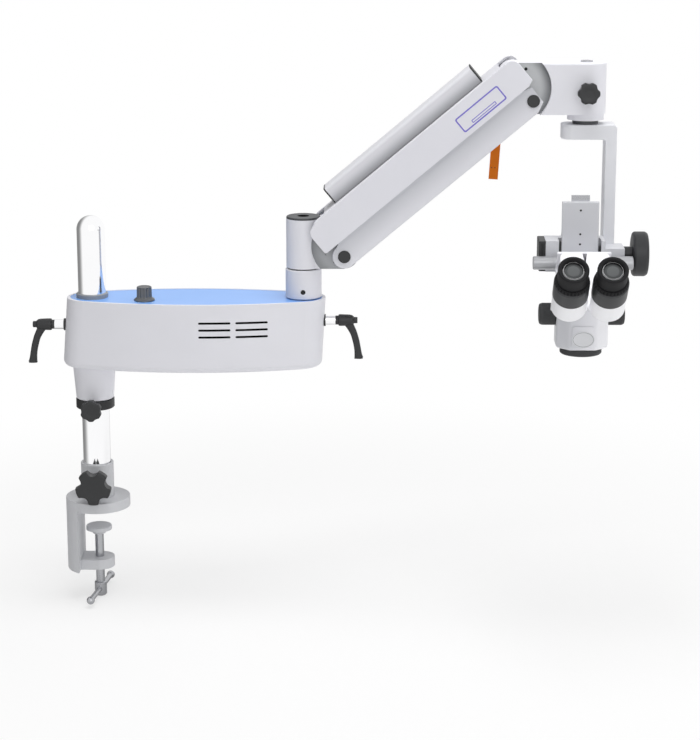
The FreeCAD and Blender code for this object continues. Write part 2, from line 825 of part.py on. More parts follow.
def post():
    """Chromed tube with a domed top."""
    foot = flange_floor + 0.01
    inner = post_radius - post_wall
    shoulder = post_top - post_radius
    piece = Piece("post")
    piece.turned([Point(inner, foot), Point(post_radius - 1, foot), Point(post_radius, foot + 1),
                  Point(post_radius, shoulder), Bend(0, post_top, post_radius),
                  Point(0, post_top - post_wall), Bend(inner, shoulder, inner, -1)])
    keep("post", piece.body)


def stop_ring():
    """Black ring that carries the housing, with a cross hole for its clamping stud."""
    top = ring_bottom + ring_height
    piece = Piece("stop_ring")
    piece.turned([Point(sleeve_bore, ring_bottom), Point(ring_radius - 1, ring_bottom),
                  Point(ring_radius, ring_bottom + 1), Point(ring_radius, top - 1),
                  Point(ring_radius - 1, top), Point(sleeve_bore, top)])
    piece.cut("XZ", [Circle(0, ring_bottom + ring_height / 2, small_stud_radius + pin_fit)],
              -ring_radius - 1, ring_radius)
    keep("stop_ring", piece.body)


def clamp_knobs():
    """The knob that locks the post in its sleeve and the one that locks the ring on the post."""
    face = boss_reach + slide_gap + 3
    star_knob("post_lock_knob", (zero, -face - 3, post_knob_height), (5, 0.7, 0.34, 0),
              post_knob_radius, post_knob_thickness, boss_radius, as_size(6), post_stud_radius,
              face - 3 - sleeve_bore - slide_gap)
    back = ring_radius + slide_gap
    star_knob("ring_knob", (zero, -back - ring_knob_neck, ring_bottom + ring_height / 2),
              (6, 0.88, 0.6, 30), small_knob_radius, small_knob_thickness, small_stud_radius + 3,
              ring_knob_neck, small_stud_radius, back - sleeve_bore - slide_gap)


# Housing

def boat(middle, length, half_width, end_radius):
    """A long rounded outline: two end arcs joined by two bowed sides that run on smoothly."""
    half = as_size(length) / 2
    centre = half - end_radius
    side = (centre * centre + half_width * half_width - end_radius * end_radius) / (
        2 * (half_width - end_radius))
    reach = side - end_radius
    touch_x = centre + end_radius * centre / reach
    touch_y = end_radius * (side - half_width) / reach
    left, right = middle - touch_x, middle + touch_x
    return [Point(left, -touch_y), Bend(middle, -half_width, side), Bend(right, -touch_y, side),
            Bend(middle + half, 0, end_radius), Bend(right, touch_y, end_radius),
            Bend(middle, half_width, side), Bend(left, touch_y, side),
            Bend(middle - half, 0, end_radius), Bend(left, -touch_y, end_radius)]


def housing_outline(height, inset):
    """The housing's outline at a height, moved in by an inset."""
    share = (as_size(height) - housing_bottom) / (housing_top - housing_bottom)
    middle = housing_middle_bottom + (housing_middle_top - housing_middle_bottom) * share
    length = housing_length_bottom + (housing_length_top - housing_length_bottom) * share
    return boat(middle, length - 2 * inset, housing_half_width - inset,
                housing_end_radius - inset)


def housing_shell():
    """Moulded housing: raked boat form, open on top, with a ledge for the panel and six vents."""
    ledge_bottom = panel_bottom - panel_ledge
    piece = Piece("housing_shell")
    piece.loft(housing_outline(housing_bottom, zero), housing_bottom,
               housing_outline(housing_top, zero), housing_top)
    piece.loft(housing_outline(floor_top, housing_wall), floor_top,
               housing_outline(ledge_bottom, housing_wall), ledge_bottom, adds=False)
    ledge = housing_wall + panel_ledge
    piece.loft(housing_outline(ledge_bottom - 1, ledge), ledge_bottom - 1,
               housing_outline(housing_top + 1, ledge), housing_top + 1, adds=False)
    piece.loft(housing_outline(panel_bottom, panel_rim), panel_bottom,
               housing_outline(housing_top + 1, panel_rim), housing_top + 1, adds=False)
    piece.round(housing_foot_round, both(flat_at(2, housing_bottom)))
    piece.cut("XY", [Circle(0, 0, sleeve_bore)], housing_bottom - 1, housing_wall + 2)
    for column in range(2):
        for line in range(3):
            middle = vent_first_middle + vent_column_pitch * column
            half = vent_length / 2 - vent_height / 2
            slot = stadium(middle - half, middle + half, vent_lowest + vent_pitch * line,
                           vent_height / 2)
            piece.cut("XZ", [slot], -housing_half_width - 1, housing_half_width / 2)
    for x, z in ((0 - beam_post_boss_radius, lever_left_height),
                 (column_x + beam_column_boss_radius, lever_right_height)):
        start = x - 20 if z is lever_left_height else x
        piece.cut("YZ", [Circle(0, z, lever_ring_radius + 0.02)], start, 20)
    keep("housing_shell", piece.body)


def top_panel():
    """Blue panel let into the housing's rim, with holes for the post, the column and the dial."""
    piece = Piece("top_panel")
    inset = panel_rim + slide_gap / 2
    bottom = panel_bottom + 0.01
    piece.pad("XY", [housing_outline(panel_bottom + panel_thickness / 2, inset)], bottom,
              panel_thickness)
    piece.cut("XY", [Circle(0, 0, sleeve_bore), Circle(column_x, 0, beam_column_boss_radius
                                                        + slide_gap),
                     Circle(dial_x, dial_y, dial_shaft_radius + slide_gap)], bottom - 1,
              panel_thickness + 2)
    keep("top_panel", piece.body)


def collar():
    """Tapered collar under the housing, which rests on the stop ring."""
    bottom = ring_bottom + ring_height + slide_gap
    top = housing_bottom - 0.01
    seat = bottom + bush_length
    piece = Piece("collar")
    piece.turned([Point(bush_radius, bottom), Point(collar_bottom_radius - 1, bottom),
                  Point(collar_bottom_radius, bottom + 1), Point(collar_top_radius, top),
                  Point(sleeve_bore, top), Point(sleeve_bore, seat), Point(bush_radius, seat)])
    keep("collar", piece.body)


def post_ferrule():
    """Grey ring that closes the gap between the panel and the post."""
    bottom = panel_bottom + panel_thickness + 0.02
    top = bottom + ferrule_height
    piece = Piece("post_ferrule")
    piece.turned([Point(sleeve_bore, bottom), Point(ferrule_radius, bottom),
                  Point(ferrule_radius, top - 1), Point(ferrule_radius - 1, top),
                  Point(sleeve_bore, top)])
    keep("post_ferrule", piece.body)


def arm_beam():
    """Cast beam on the housing's floor, with a tall boss for the post and one for the column."""
    piece = Piece("arm_beam")
    bottom = floor_top + 0.01
    piece.pad("XY", [rectangle(0, -beam_half_width, column_x, beam_half_width)], bottom,
              beam_base_height)
    piece.pad("XY", [Circle(0, 0, beam_post_boss_radius)], bottom, beam_post_boss_top - bottom)
    piece.pad("XY", [Circle(column_x, 0, beam_column_boss_radius)], bottom,
              column_boss_top - bottom)
    piece.cut("XY", [Circle(0, 0, sleeve_bore)], bottom - 1, beam_post_boss_top)
    piece.cut("XY", [Circle(0, 0, bush_radius)], beam_post_boss_top - bush_length, bush_length + 1)
    piece.cut("XY", [Circle(column_x, 0, stem_bush_radius)], bottom + 3, column_boss_top)
    rib_start = beam_post_boss_radius + 8
    rib_end = column_x - beam_column_boss_radius - 8
    window = rectangle(rib_start, -beam_half_width + 5, rib_end, beam_half_width - 5)
    piece.cut("XY", [window], bottom + 6, beam_base_height - 10)
    stud = lever_screw_radius + pin_fit
    piece.cut("YZ", [Circle(0, lever_left_height, stud)], -beam_post_boss_radius - 1,
              beam_post_boss_radius)
    piece.cut("YZ", [Circle(0, lever_right_height, stud)], column_x, beam_column_boss_radius + 1)
    keep("arm_beam", piece.body)


def bushes():
    """Plain bearings: two for the post and two for the column's stem."""
    post_bore = post_radius + pin_fit
    stem_bore = stem_radius + pin_fit
    seat = ring_bottom + ring_height + slide_gap
    stem_foot = floor_top + 3.02
    keep("bushes",
         rod("post_bush_low", bush_radius, seat, bush_length - 0.01, bore=post_bore),
         rod("post_bush_high", bush_radius, beam_post_boss_top - bush_length, bush_length,
             bore=post_bore),
         rod("stem_bush_low", stem_bush_radius, stem_foot, bush_length, bore=stem_bore,
             at=(column_x, 0)),
         rod("stem_bush_high", stem_bush_radius, column_boss_top - bush_length, bush_length,
             bore=stem_bore, at=(column_x, 0)))


def power_unit():
    """Encased supply on the beam, and the control board that hangs under the dial."""
    seat = beam_top + 0.02
    supply = block("supply_case", column_x / 2 - 40, column_x / 2 + 45, -26, 26, seat, seat + 42)
    board_z = panel_bottom - 14
    board = block("control_board", dial_x - 26, dial_x + 30, dial_y - 12, dial_y + 40, board_z,
                  board_z + 1.6)
    sensor = rod("dial_sensor", as_size(8), board_z + 1.6, as_size(12.4), at=(dial_x, dial_y),
                 bore=dial_shaft_radius + slide_gap)
    keep("power_unit", supply, board, sensor)


def heat_sink():
    """Finned block of the lamp driver, beside the supply."""
    piece = Piece("heat_sink")
    left = column_x / 2 + 52
    right = left + 44
    seat = beam_top + 0.02
    piece.pad("XY", [rectangle(left, -22, right, 22)], seat, as_size(34))
    fin_gap = (right - left) / 11
    for number in range(5):
        start = left + fin_gap * (2 * number + 1)
        piece.cut("XY", [rectangle(start, -23, start + fin_gap, 23)], seat + 6, as_size(40))
    keep("heat_sink", piece.body)


def dial():
    """Brightness knob: a fluted grip on a wide skirt, with its shaft below."""
    bottom = panel_bottom + panel_thickness + slide_gap
    piece = Piece("brightness_knob", (dial_x, dial_y, bottom))
    piece.turned([Point(0, 0), Point(dial_flange_radius, 0), Point(dial_flange_radius, 1.5),
                  Point(dial_radius + 1, 4), Point(dial_radius, dial_height - 1.5),
                  Point(dial_radius - 1.5, dial_height), Point(0, dial_height)])
    flute = piece.cut("XY", [Circle(0, dial_radius + 1.2, 1.9)], 4, dial_height)
    piece.ring_of(flute, 12)
    shaft = rod("dial_shaft", dial_shaft_radius, panel_bottom - 12,
                bottom - panel_bottom + 12, at=(dial_x, dial_y))
    keep("brightness_knob", piece.body, shaft)


def lever_handle(node, hub_x, height, side):
    """Clamping lever: a stepped hub along X and a curved handle that hangs and flares at its tip."""
    piece = Piece(node, (hub_x, 0, height), (0, 0, 1), 0 if side < 0 else 180)
    hub = lever_hub_radius
    length = lever_hub_length
    piece.turned([Point(0, 0), Point(0, hub - 2), Point(-4, hub - 1.5), Point(-5, hub),
                  Point(3 - length, hub - 1), Point(-length, hub - 4), Point(-length, 4.5),
                  Point(-length - 4.5, 4.5), Point(-length - 5, 3.8), Point(-length - 5, 0)],
                 "XZ", "H_Axis")
    tip = -lever_drop
    handle = [Point(-14, -2), Point(-21, -2), Bend(-35.5, tip * 0.58, 60, 1),
              Bend(-40.5, tip, 110, 1), Point(-27, tip), Point(-27.6, tip + 6),
              Bend(-25, tip * 0.54, 90, -1), Bend(-14, -8, 60, -1)]
    piece.pad("XZ", [handle], -lever_thickness / 2, lever_thickness)
    keep(node, piece.body)


def levers():
    """The two clamping levers, their chrome studs and the black rings on the housing."""
    lever_handle("left_lever", -lever_left_hub, lever_left_height, -1)
    lever_handle("right_lever", lever_right_hub, lever_right_height, 1)
    left_wall = housing_middle_top - housing_length_top / 2 - 6
    right_wall = housing_middle_top + housing_length_top / 2 - 1
    ring_width = as_size(4)
    left_seat = -beam_post_boss_radius
    stud_in = lever_left_hub - beam_post_boss_radius - slide_gap
    keep("left_lever_stud",
         rod("left_stud", lever_stud_radius, -lever_left_hub, stud_in, "X",
             at=(0, lever_left_height)),
         rod("left_stud_tip", lever_screw_radius, left_seat - slide_gap,
             beam_post_boss_radius - sleeve_bore, "X", at=(0, lever_left_height)))
    right_seat = column_x + beam_column_boss_radius + slide_gap
    tip_start = column_x + stem_radius + slide_gap
    keep("right_lever_stud",
         rod("right_stud", lever_stud_radius, right_seat, lever_right_hub - right_seat, "X",
             at=(0, lever_right_height)),
         rod("right_stud_tip", lever_screw_radius, tip_start, right_seat - tip_start, "X",
             at=(0, lever_right_height)))
    bore = lever_stud_radius + lever_ring_gap
    keep("lever_base_rings",
         rod("left_base_ring", lever_ring_radius, left_wall, ring_width, "X", bore=bore,
             at=(0, lever_left_height)),
         rod("right_base_ring", lever_ring_radius, right_wall - 3, ring_width, "X", bore=bore,
             at=(0, lever_right_height)))


# Column and arm root

def column_ring():
    """White ring on the housing and the steel stem through it into the beam."""
    piece = Piece("column_sleeve", (column_x, 0, 0))
    low, high = column_ring_bottom, column_ring_top
    piece.turned([Point(stem_radius, low), Point(column_ring_radius - 1, low),
                  Point(column_ring_radius, low + 1), Point(column_ring_radius, high - 1),
                  Point(column_ring_radius - 1, high), Point(stem_radius, high)])
    foot = floor_top + 3.02
    stem = rod("column_stem", stem_radius, foot, hub_bottom + 30 - foot, at=(column_x, 0))
    keep("column_ring", piece.body, stem)


def column_trim():
    """Dark thrust washer under the hub and the dark cap on it."""
    cap = Piece("hub_cap", (column_x, 0, 0))
    top = hub_top + cap_height
    cap.turned([Point(cap_hole_radius, hub_top + 0.01), Point(hub_radius - 0.4, hub_top + 0.01),
                Point(hub_radius - 0.4, top - 0.8), Point(hub_radius - 1.2, top),
                Point(cap_hole_radius, top)])
    washer = rod("thrust_washer", column_ring_radius - 3, column_ring_top + 0.01,
                 washer_height - 0.02, bore=stem_radius + 0.02, at=(column_x, 0))
    keep("column_trim", cap.body, washer)


def tongue(x0, z0, x1, z1, radius):
    """Outline round two pivot eyes: a lobe of one radius about each, joined by tangents."""
    step = root((x1 - x0) * (x1 - x0) + (z1 - z0) * (z1 - z0))
    out_x = (z1 - z0) / step * radius
    out_z = (x0 - x1) / step * radius
    on_x = (x1 - x0) / step * radius
    on_z = (z1 - z0) / step * radius
    return [Point(x0 + out_x, z0 + out_z), Point(x1 + out_x, z1 + out_z),
            Bend(x1 + on_x, z1 + on_z, radius), Bend(x1 - out_x, z1 - out_z, radius),
            Point(x0 - out_x, z0 - out_z), Bend(x0 - on_x, z0 - on_z, radius),
            Bend(x0 + out_x, z0 + out_z, radius)]


def arm_root():
    """White hub on the stem with the flat tongue that holds both links, scalloped for them."""
    piece = Piece("arm_root")
    half = tongue_half_width
    piece.pad("XY", [Circle(column_x, 0, hub_radius)], hub_bottom, hub_height)
    piece.pad("XZ", [rectangle(column_x, hub_bottom, pivot_x, pivot_height)], -half, half * 2)
    piece.pad("XZ", [tongue(pivot_x, pivot_height, upper_pivot_x, upper_pivot_z, tongue_radius)],
              -half, half * 2)
    piece.pad("XZ", [rectangle(column_x, pivot_height, upper_pivot_x, upper_pivot_z)], -half,
              half * 2)
    scallop = Circle(pivot_x - 1, pivot_height + 12.4, scallop_radius)
    for start in (-hub_radius - 1, half):
        piece.cut("XZ", [scallop], start, hub_radius - half + 1)
    piece.cut("XY", [Circle(column_x, 0, stem_radius + 0.01)], hub_bottom - 1, as_size(31.1))
    piece.cut("XY", [Circle(column_x, 0, cap_hole_radius)], hub_top - 12, as_size(13))
    piece.cut("XY", [Circle(column_x, 0, hub_radius)], hub_top, as_size(6))
    bore = pivot_pin_radius + pin_fit
    piece.cut("XZ", [Circle(pivot_x, pivot_height, bore), Circle(upper_pivot_x, upper_pivot_z,
                                                                 bore)], -half - 1, half * 2 + 2)
    keep("arm_root", piece.body)


# Arm, drawn lying along X with its lower pivot at the origin, then raised by the arm angle

def arm_piece(node):
    return Piece(node, (pivot_x, 0, pivot_height), (0, -1, 0), arm_angle)


def lower_shell():
    """Lower link: a box section with cheeks at both pivots, square at the front, and open ends."""
    piece = arm_piece("lower_shell")
    half = lower_half_width
    reach = lower_end_reach
    low, high = -lower_depth, lower_rise
    far = arm_length
    front = far + cheek_front_reach
    corner = cheek_front_round
    cheek = [Point(0, low), Point(far - cheek_front_reach / 2, low),
             Point(front, low + cheek_front_cut), Point(front, reach - corner),
             Bend(front - corner, reach, corner), Point(far - 14, high), Point(14, high),
             Point(0, reach), Bend(-reach, 0, reach), Bend(0, low, reach)]
    piece.pad("XZ", [cheek], -half, half * 2)
    inner = shell_wall
    hollow = rectangle(-reach - 1, low + inner, far + reach + 1, high - inner)
    piece.cut("XZ", [hollow], inner - half, (half - inner) * 2)
    for x0, x1 in ((-reach - 1, lower_top_start), (lower_top_end, far + reach + 1)):
        piece.cut("XZ", [rectangle(x0, high - inner - 1, x1, high + 1)], inner - half,
                  (half - inner) * 2)
    for x0, x1 in ((-reach - 1, lower_bottom_start), (lower_bottom_end, far + reach + 1)):
        piece.cut("XZ", [rectangle(x0, low - 1, x1, low + inner + 1)], inner - half,
                  (half - inner) * 2)
    slot = rectangle(lock_along - lock_slot_back, -lock_thickness, lock_along + lock_slot_front,
                     lock_thickness)
    piece.cut("XY", [slot], low - 1, inner + 2)
    piece.cut("XZ", [Circle(0, 0, pivot_pin_radius + 0.01), Circle(far, 0, pivot_pin_radius
                                                                    + 0.01)],
              -half - 1, half * 2 + 2)
    piece.round(edge_round, both(flat_at(2, low), along(0)))
    keep("lower_shell", piece.body)


def pivot_pins():
    """The lower link's two pivot pins and the spacers that centre its cheeks on the tongues."""
    parts = []
    gap = slide_gap
    half = lower_half_width
    spacer_length = half - shell_wall - tongue_half_width - gap - 0.01
    for number, (x, z) in enumerate(((pivot_x, pivot_height), (front_pivot_x, front_pivot_z))):
        parts.append(rod("pivot_pin_" + str(number), pivot_pin_radius, -half, half * 2, "Y",
                         at=(x, z)))
        for side, start in (("near", shell_wall - half + 0.01), ("far", tongue_half_width + gap)):
            parts.append(rod("spacer_" + side + "_" + str(number), pivot_pin_radius + 3, start,
                             spacer_length, "Y", bore=pivot_pin_radius + 0.01, at=(x, z)))
    parts.append(rod("lock_pin", lock_pin_radius, shell_wall - half + 0.01,
                     (half - shell_wall) * 2 - 0.02, "Y", at=(lock_x, lock_z)))
    keep("pivot_pins", *parts)


def pivot_caps():
    """Black caps on the outer ends of the lower link's pivot pins."""
    parts = []
    places = ((pivot_x, pivot_height), (front_pivot_x, front_pivot_z))
    for number, (x, z) in enumerate(places):
        for side in (-1, 1):
            cap = Piece("pivot_cap_" + str(number) + ("a" if side < 0 else "b"),
                        (x, lower_half_width * side, z), (1, 0, 0), 90 if side < 0 else -90)
            cap.turned([Point(0, 0.01), Point(pivot_cap_radius, 0.01),
                        Point(pivot_cap_radius, pivot_cap_height - 0.8),
                        Point(pivot_cap_radius - 0.8, pivot_cap_height),
                        Point(0, pivot_cap_height)])
            parts.append(cap.body)
    keep("pivot_caps", *parts)


def upper_shell():
    """Upper link's cover: side skirts and a top, slotted at both ends for the arm's knuckles."""
    piece = arm_piece("upper_shell")
    inner = lower_half_width + slide_gap
    outer = inner + upper_wall
    low = link_offset - upper_skirt
    high = link_offset + upper_rise
    near_end = -upper_end_reach
    far_end = arm_length + upper_end_reach
    side = [Point(near_end + 4, low), Point(far_end - 9, low), Point(far_end, low + 4),
            Point(far_end, high - 13), Bend(far_end - 13, high, 13), Point(near_end + 20, high),
            Point(near_end + 5, high - 6), Bend(near_end, high - 16, 16),
            Point(near_end, low + 4), Bend(near_end + 4, low, 4)]
    piece.pad("XZ", [side], -outer, outer * 2)
    hollow = rectangle(near_end - 1, low - 1, far_end + 1, high - upper_wall)
    piece.cut("XZ", [hollow], -inner, inner * 2)
    slot = upper_slot_half_width
    piece.cut("XY", [rectangle(near_end - 1, -slot, upper_slot_back, slot),
                     rectangle(arm_length - upper_slot_front, -slot, far_end + 1, slot)],
              high - upper_wall - 1, upper_wall + 2)
    piece.round(edge_round, both(flat_at(2, high), along(0),
                                 lambda e: abs(e.BoundBox.YMax) > slot.number + 1))
    keep("upper_shell", piece.body)


def link_bars():
    """The two steel bars inside the upper cover, with a pivot pin through each end."""
    parts = []
    start = tongue_half_width + slide_gap
    reach = pivot_pin_radius + 4
    half = link_bar_half_height
    run = root(as_size(reach * reach) - half * half)
    for side in (-1, 1):
        bar = arm_piece("link_bar_" + ("near" if side < 0 else "far"))
        low = link_offset - half
        high = link_offset + half
        outline = [Point(run, low), Point(arm_length - run, low),
                   Bend(arm_length + reach, link_offset, reach), Bend(arm_length - run, high,
                                                                      reach),
                   Point(run, high), Bend(-reach, link_offset, reach), Bend(run, low, reach)]
        y0 = start if side > 0 else -start - link_bar_thickness
        bar.pad("XZ", [outline], y0, link_bar_thickness)
        bore = pivot_pin_radius + 0.01
        bar.cut("XZ", [Circle(0, link_offset, bore), Circle(arm_length, link_offset, bore)],
                y0 - 1, link_bar_thickness + 2)
        parts.append(bar.body)
    half_pin = start + link_bar_thickness + 2
    for name, x, z in (("back", upper_pivot_x, upper_pivot_z),
                       ("front", front_upper_x, front_upper_z)):
        parts.append(rod("link_pin_" + name, pivot_pin_radius, -half_pin, half_pin * 2, "Y",
                         at=(x, z)))
    keep("link_bars", *parts)


def spring_cover():
    """Extruded cover on top of the arm, over the gas spring, with a black cap at each end."""
    seat = link_offset + upper_rise + 0.01
    top = seat + cover_height
    wall = cover_wall
    half = cover_half_width
    piece = arm_piece("spring_cover")
    section = [Point(-half, seat), Point(half, seat), Point(half, top - 5),
               Bend(half - 5, top, 5), Point(5 - half, top), Bend(-half, top - 5, 5)]
    piece.pad("YZ", [section], cover_start + cover_cap_length,
              cover_end - cover_start - cover_cap_length * 2)
    inner = [Point(wall - half, seat + wall), Point(half - wall, seat + wall),
             Point(half - wall, top - 5), Bend(half - 5, top - wall, 5 - wall),
             Point(5 - half, top - wall), Bend(wall - half, top - 5, 5 - wall)]
    piece.cut("YZ", [inner], cover_start, cover_end - cover_start)
    keep("spring_cover", piece.body)
    caps = []
    for number, start in enumerate((cover_start, cover_end - cover_cap_length)):
        cap = arm_piece("cover_cap_" + str(number))
        cap.pad("YZ", [section], start, cover_cap_length - 0.01)
        caps.append(cap.body)
    keep("cover_end_caps", *caps)


def gas_spring():
    """Balance spring inside the cover: a tube and its rod, held between the two end caps."""
    seat = link_offset + upper_rise + cover_height / 2
    start = cover_start + cover_cap_length + 0.01
    end = cover_end - cover_cap_length - 0.02
    middle = start + (end - start) * 0.62
    tube = arm_piece("gas_tube")
    tube.pad("YZ", [Circle(0, seat, gas_tube_radius)], start, middle - start)
    stick = arm_piece("gas_rod")
    stick.pad("YZ", [Circle(0, seat, gas_rod_radius)], middle + 0.01, end - middle - 0.02)
    keep("gas_spring", tube.body, stick.body)


def arm_lock_lever():
    """Orange strip that hangs from a pin in the lower link and locks the arm."""
    piece = Piece("arm_lock_lever", (lock_x, 0, lock_z), (0, 1, 0), lock_lean)
    half = lock_width / 2
    strip = [Point(-half, -lock_length), Point(half, -lock_length), Point(half, 0),
             Bend(0, half, half), Bend(-half, 0, half)]
    piece.pad("XZ", [strip], -lock_thickness / 2, lock_thickness)
    piece.cut("XZ", [Circle(0, 0, lock_pin_radius + pin_fit)], -lock_thickness, lock_thickness * 2)
    keep("arm_lock_lever", piece.body)


# Head block and crank

def head_block():
    """White block with a rounded nose over the swivel and a tongue back to the arm's pivots."""
    piece = Piece("head_block")
    wide = block_half_width
    half = tongue_half_width
    plan = [Point(front_upper_x, -wide), Point(swivel_x, -wide), Bend(swivel_x + wide, 0, wide),
            Bend(swivel_x, wide, wide), Point(front_upper_x, wide)]
    piece.pad("XY", [plan], block_bottom, block_top - block_bottom)
    middle_x = front_pivot_x - 26.2
    middle_z = front_pivot_z + 16.9
    scallop = Circle(middle_x, middle_z, block_scallop_radius)
    for start in (-wide - 1, half):
        piece.cut("XZ", [scallop], start, wide - half + 1)
    lean = [Point(front_upper_x - 30, block_bottom - 1), Point(front_pivot_x, block_bottom - 1),
            Point(front_pivot_x, front_pivot_z), Point(front_upper_x, front_upper_z),
            Point(front_upper_x, block_top + 1), Point(front_upper_x - 30, block_top + 1)]
    piece.cut("XZ", [lean], -wide - 1, wide * 2 + 2)
    piece.pad("XZ", [tongue(front_pivot_x, front_pivot_z, front_upper_x, front_upper_z,
                            tongue_radius)], -half, half * 2)
    piece.pad("XY", [Circle(swivel_x, 0, block_boss_radius)], block_bottom - block_boss_height,
              block_boss_height)
    bore = spindle_radius + pin_fit
    piece.cut("XY", [Circle(swivel_x, 0, bore)], block_bottom - block_boss_height - 1,
              block_top - block_bottom + block_boss_height - 4)
    piece.cut("XY", [Circle(swivel_x, 0, spindle_cap_radius - 2)], block_top - 10, as_size(11))
    pin = pivot_pin_radius
    piece.cut("XZ", [Circle(front_pivot_x, front_pivot_z, pin + pin_fit),
                     Circle(front_upper_x, front_upper_z, pin + slide_gap)], -half - 1,
              half * 2 + 2)
    piece.cut("XZ", [Circle(swivel_x, head_knob_height, small_stud_radius + pin_fit)], -wide - 1,
              wide)
    piece.round(edge_round * 2, both(flat_at(2, block_top),
                                     lambda e: e.BoundBox.XMax > front_pivot_x.number + 12,
                                     lambda e: e.BoundBox.YLength > 3 or
                                     abs(e.BoundBox.YMax) > wide.number - 1))
    keep("head_block", piece.body)


def head_lock_knob():
    """Six-lobed knob that clamps the crank's spindle in the head block."""
    back = block_half_width + slide_gap
    star_knob("head_lock_knob", (swivel_x, -back - small_knob_neck, head_knob_height),
              (6, 0.88, 0.6, 0), small_knob_radius, small_knob_thickness, small_stud_radius + 4,
              small_knob_neck, small_stud_radius, back - spindle_radius - pin_fit - slide_gap)


def crank_spindle():
    """Steel spindle in the head block, with a screwed cap above the block."""
    foot = spindle_foot
    top = block_top - 5.5
    piece = Piece("spindle", (swivel_x, 0, 0))
    neck = spindle_cap_radius - 2 - slide_gap
    under = block_top + 0.1
    piece.turned([Point(0, foot), Point(spindle_radius, foot), Point(spindle_radius, top - 1),
                  Point(spindle_radius - 1, top), Point(neck, top), Point(neck, under),
                  Point(spindle_cap_radius, under), Point(spindle_cap_radius, under
                                                          + spindle_cap_height),
                  Point(0, under + spindle_cap_height)])
    keep("crank_spindle", piece.body)


def swivel_ring():
    """Dark bearing ring between the head block's boss and the crank."""
    top = block_bottom - block_boss_height - slide_gap
    keep("swivel_ring", rod("swivel_ring_blank", swivel_ring_radius, spindle_foot,
                            top - spindle_foot, bore=spindle_radius + 0.01, at=(swivel_x, 0)))


def crank_bracket():
    """Bent bar: a short arm under the swivel and a long drop to the focus drive."""
    piece = Piece("crank_bracket")
    half = crank_half_width
    foot = drive_z - drive_half
    top = spindle_foot - 0.01
    elbow = crank_bottom
    side = [Point(crank_left, elbow), Point(bar_left - 4, elbow), Bend(bar_left, elbow - 4, 4,
                                                                       -1),
            Point(bar_left, foot), Point(crank_right, foot),
            Point(crank_right, top - crank_corner_round),
            Bend(crank_right - crank_corner_round, top, crank_corner_round),
            Point(crank_left, top)]
    piece.pad("XZ", [side], -half, half * 2)
    piece.round(crank_end_round, both(along(2), lambda e: near(e.BoundBox.XMin, crank_left)))
    piece.round(edge_round, either(both(flat_at(1, -half), along(2)),
                                   both(flat_at(1, half), along(2))))
    keep("crank_bracket", piece.body)


# Focus drive

def focus_housing():
    """Drive housing: a left ear, a right ear and a web behind the slide, with its guide."""
    front = drive_front
    back = drive_y + drive_half
    low = drive_z - drive_half
    high = drive_z + drive_half
    slide_left = plate_middle - plate_width / 2 - gib_width
    slide_right = plate_middle + plate_width / 2 + gib_width
    web_front = plate_front + plate_thickness + 14
    piece = Piece("focus_housing")
    piece.pad("XY", [[Point(drive_left, front), Point(slide_left, front),
                      Point(slide_left, web_front), Point(slide_right, web_front),
                      Point(slide_right, front), Point(bar_left - 0.01, front),
                      Point(bar_left - 0.01, back), Point(drive_left, back)]], low, high - low)
    piece.pad("XY", [[Point(bar_left - 0.01, front), Point(drive_right, front),
                      Point(drive_right, back), Point(crank_right + 0.01, back),
                      Point(crank_right + 0.01, -crank_half_width - 0.01),
                      Point(bar_left - 0.01, -crank_half_width - 0.01)]], low,
              high - low - 11)
    guide = plate_middle - guide_half_width
    guide_end = plate_middle + guide_half_width
    foot = as_size(4)
    slope = [Point(guide - foot, high - 1), Point(guide_end + foot, high - 1),
             Point(guide_end, guide_top), Point(guide, guide_top)]
    piece.pad("XZ", [slope], web_front, back - web_front)
    pinion = tooth_module * (pinion_teeth / 2 + 1)
    piece.cut("YZ", [Circle(drive_y, drive_z, pinion + slide_gap)], slide_left - 1,
              slide_right - slide_left + 2)
    shaft = pinion_shaft_radius + pin_fit
    piece.cut("YZ", [Circle(drive_y, drive_z, shaft)], drive_left - 1,
              drive_right - drive_left + 2)
    keep("focus_housing", piece.body)


def focus_trim():
    """Black square end cap of the drive and the two slide gibs beside the plate."""
    front = drive_front
    left = plate_middle - plate_width / 2
    right = plate_middle + plate_width / 2
    low = drive_z - drive_half
    high = drive_z + drive_half
    cap = Piece("drive_end_cap")
    cap.pad("YZ", [rectangle(front + 0.5, low + 0.5, drive_y + drive_half - 0.5, high - 0.5)],
            drive_left - end_cap_width, end_cap_width - 0.01)
    cap.cut("XZ", [rectangle(drive_left - 6.6, low + 4, drive_left - 3, high - 4)], front - 1,
            as_size(4))
    cap.round(edge_round * 1.5, flat_at(0, drive_left - end_cap_width))
    back = plate_front + plate_thickness + 3
    gap = slide_gap
    left_gib = block("left_gib", left - gib_width + 0.01, left - gap, plate_front + 1, back,
                     low + 1, high - 2)
    right_gib = block("right_gib", right + gap, right + gib_width - 0.01, plate_front + 1, back,
                      low + 1, high - 9)
    keep("focus_trim", cap.body, left_gib, right_gib)


def gear_outline(teeth, module, reach):
    """Straight-flanked gear outline round the origin, with teeth of one module."""
    tip = module * (teeth / 2 + 0.8)
    base = module * (teeth / 2 - 1.15)
    step = 360 / teeth
    corners = []
    for number in range(teeth):
        for angle, radius in ((-0.27, base), (-0.1, tip), (0.1, tip), (0.27, base)):
            turn = math.radians((number + angle + reach) * step)
            corners.append(Point(radius * math.cos(turn), radius * math.sin(turn)))
    return corners


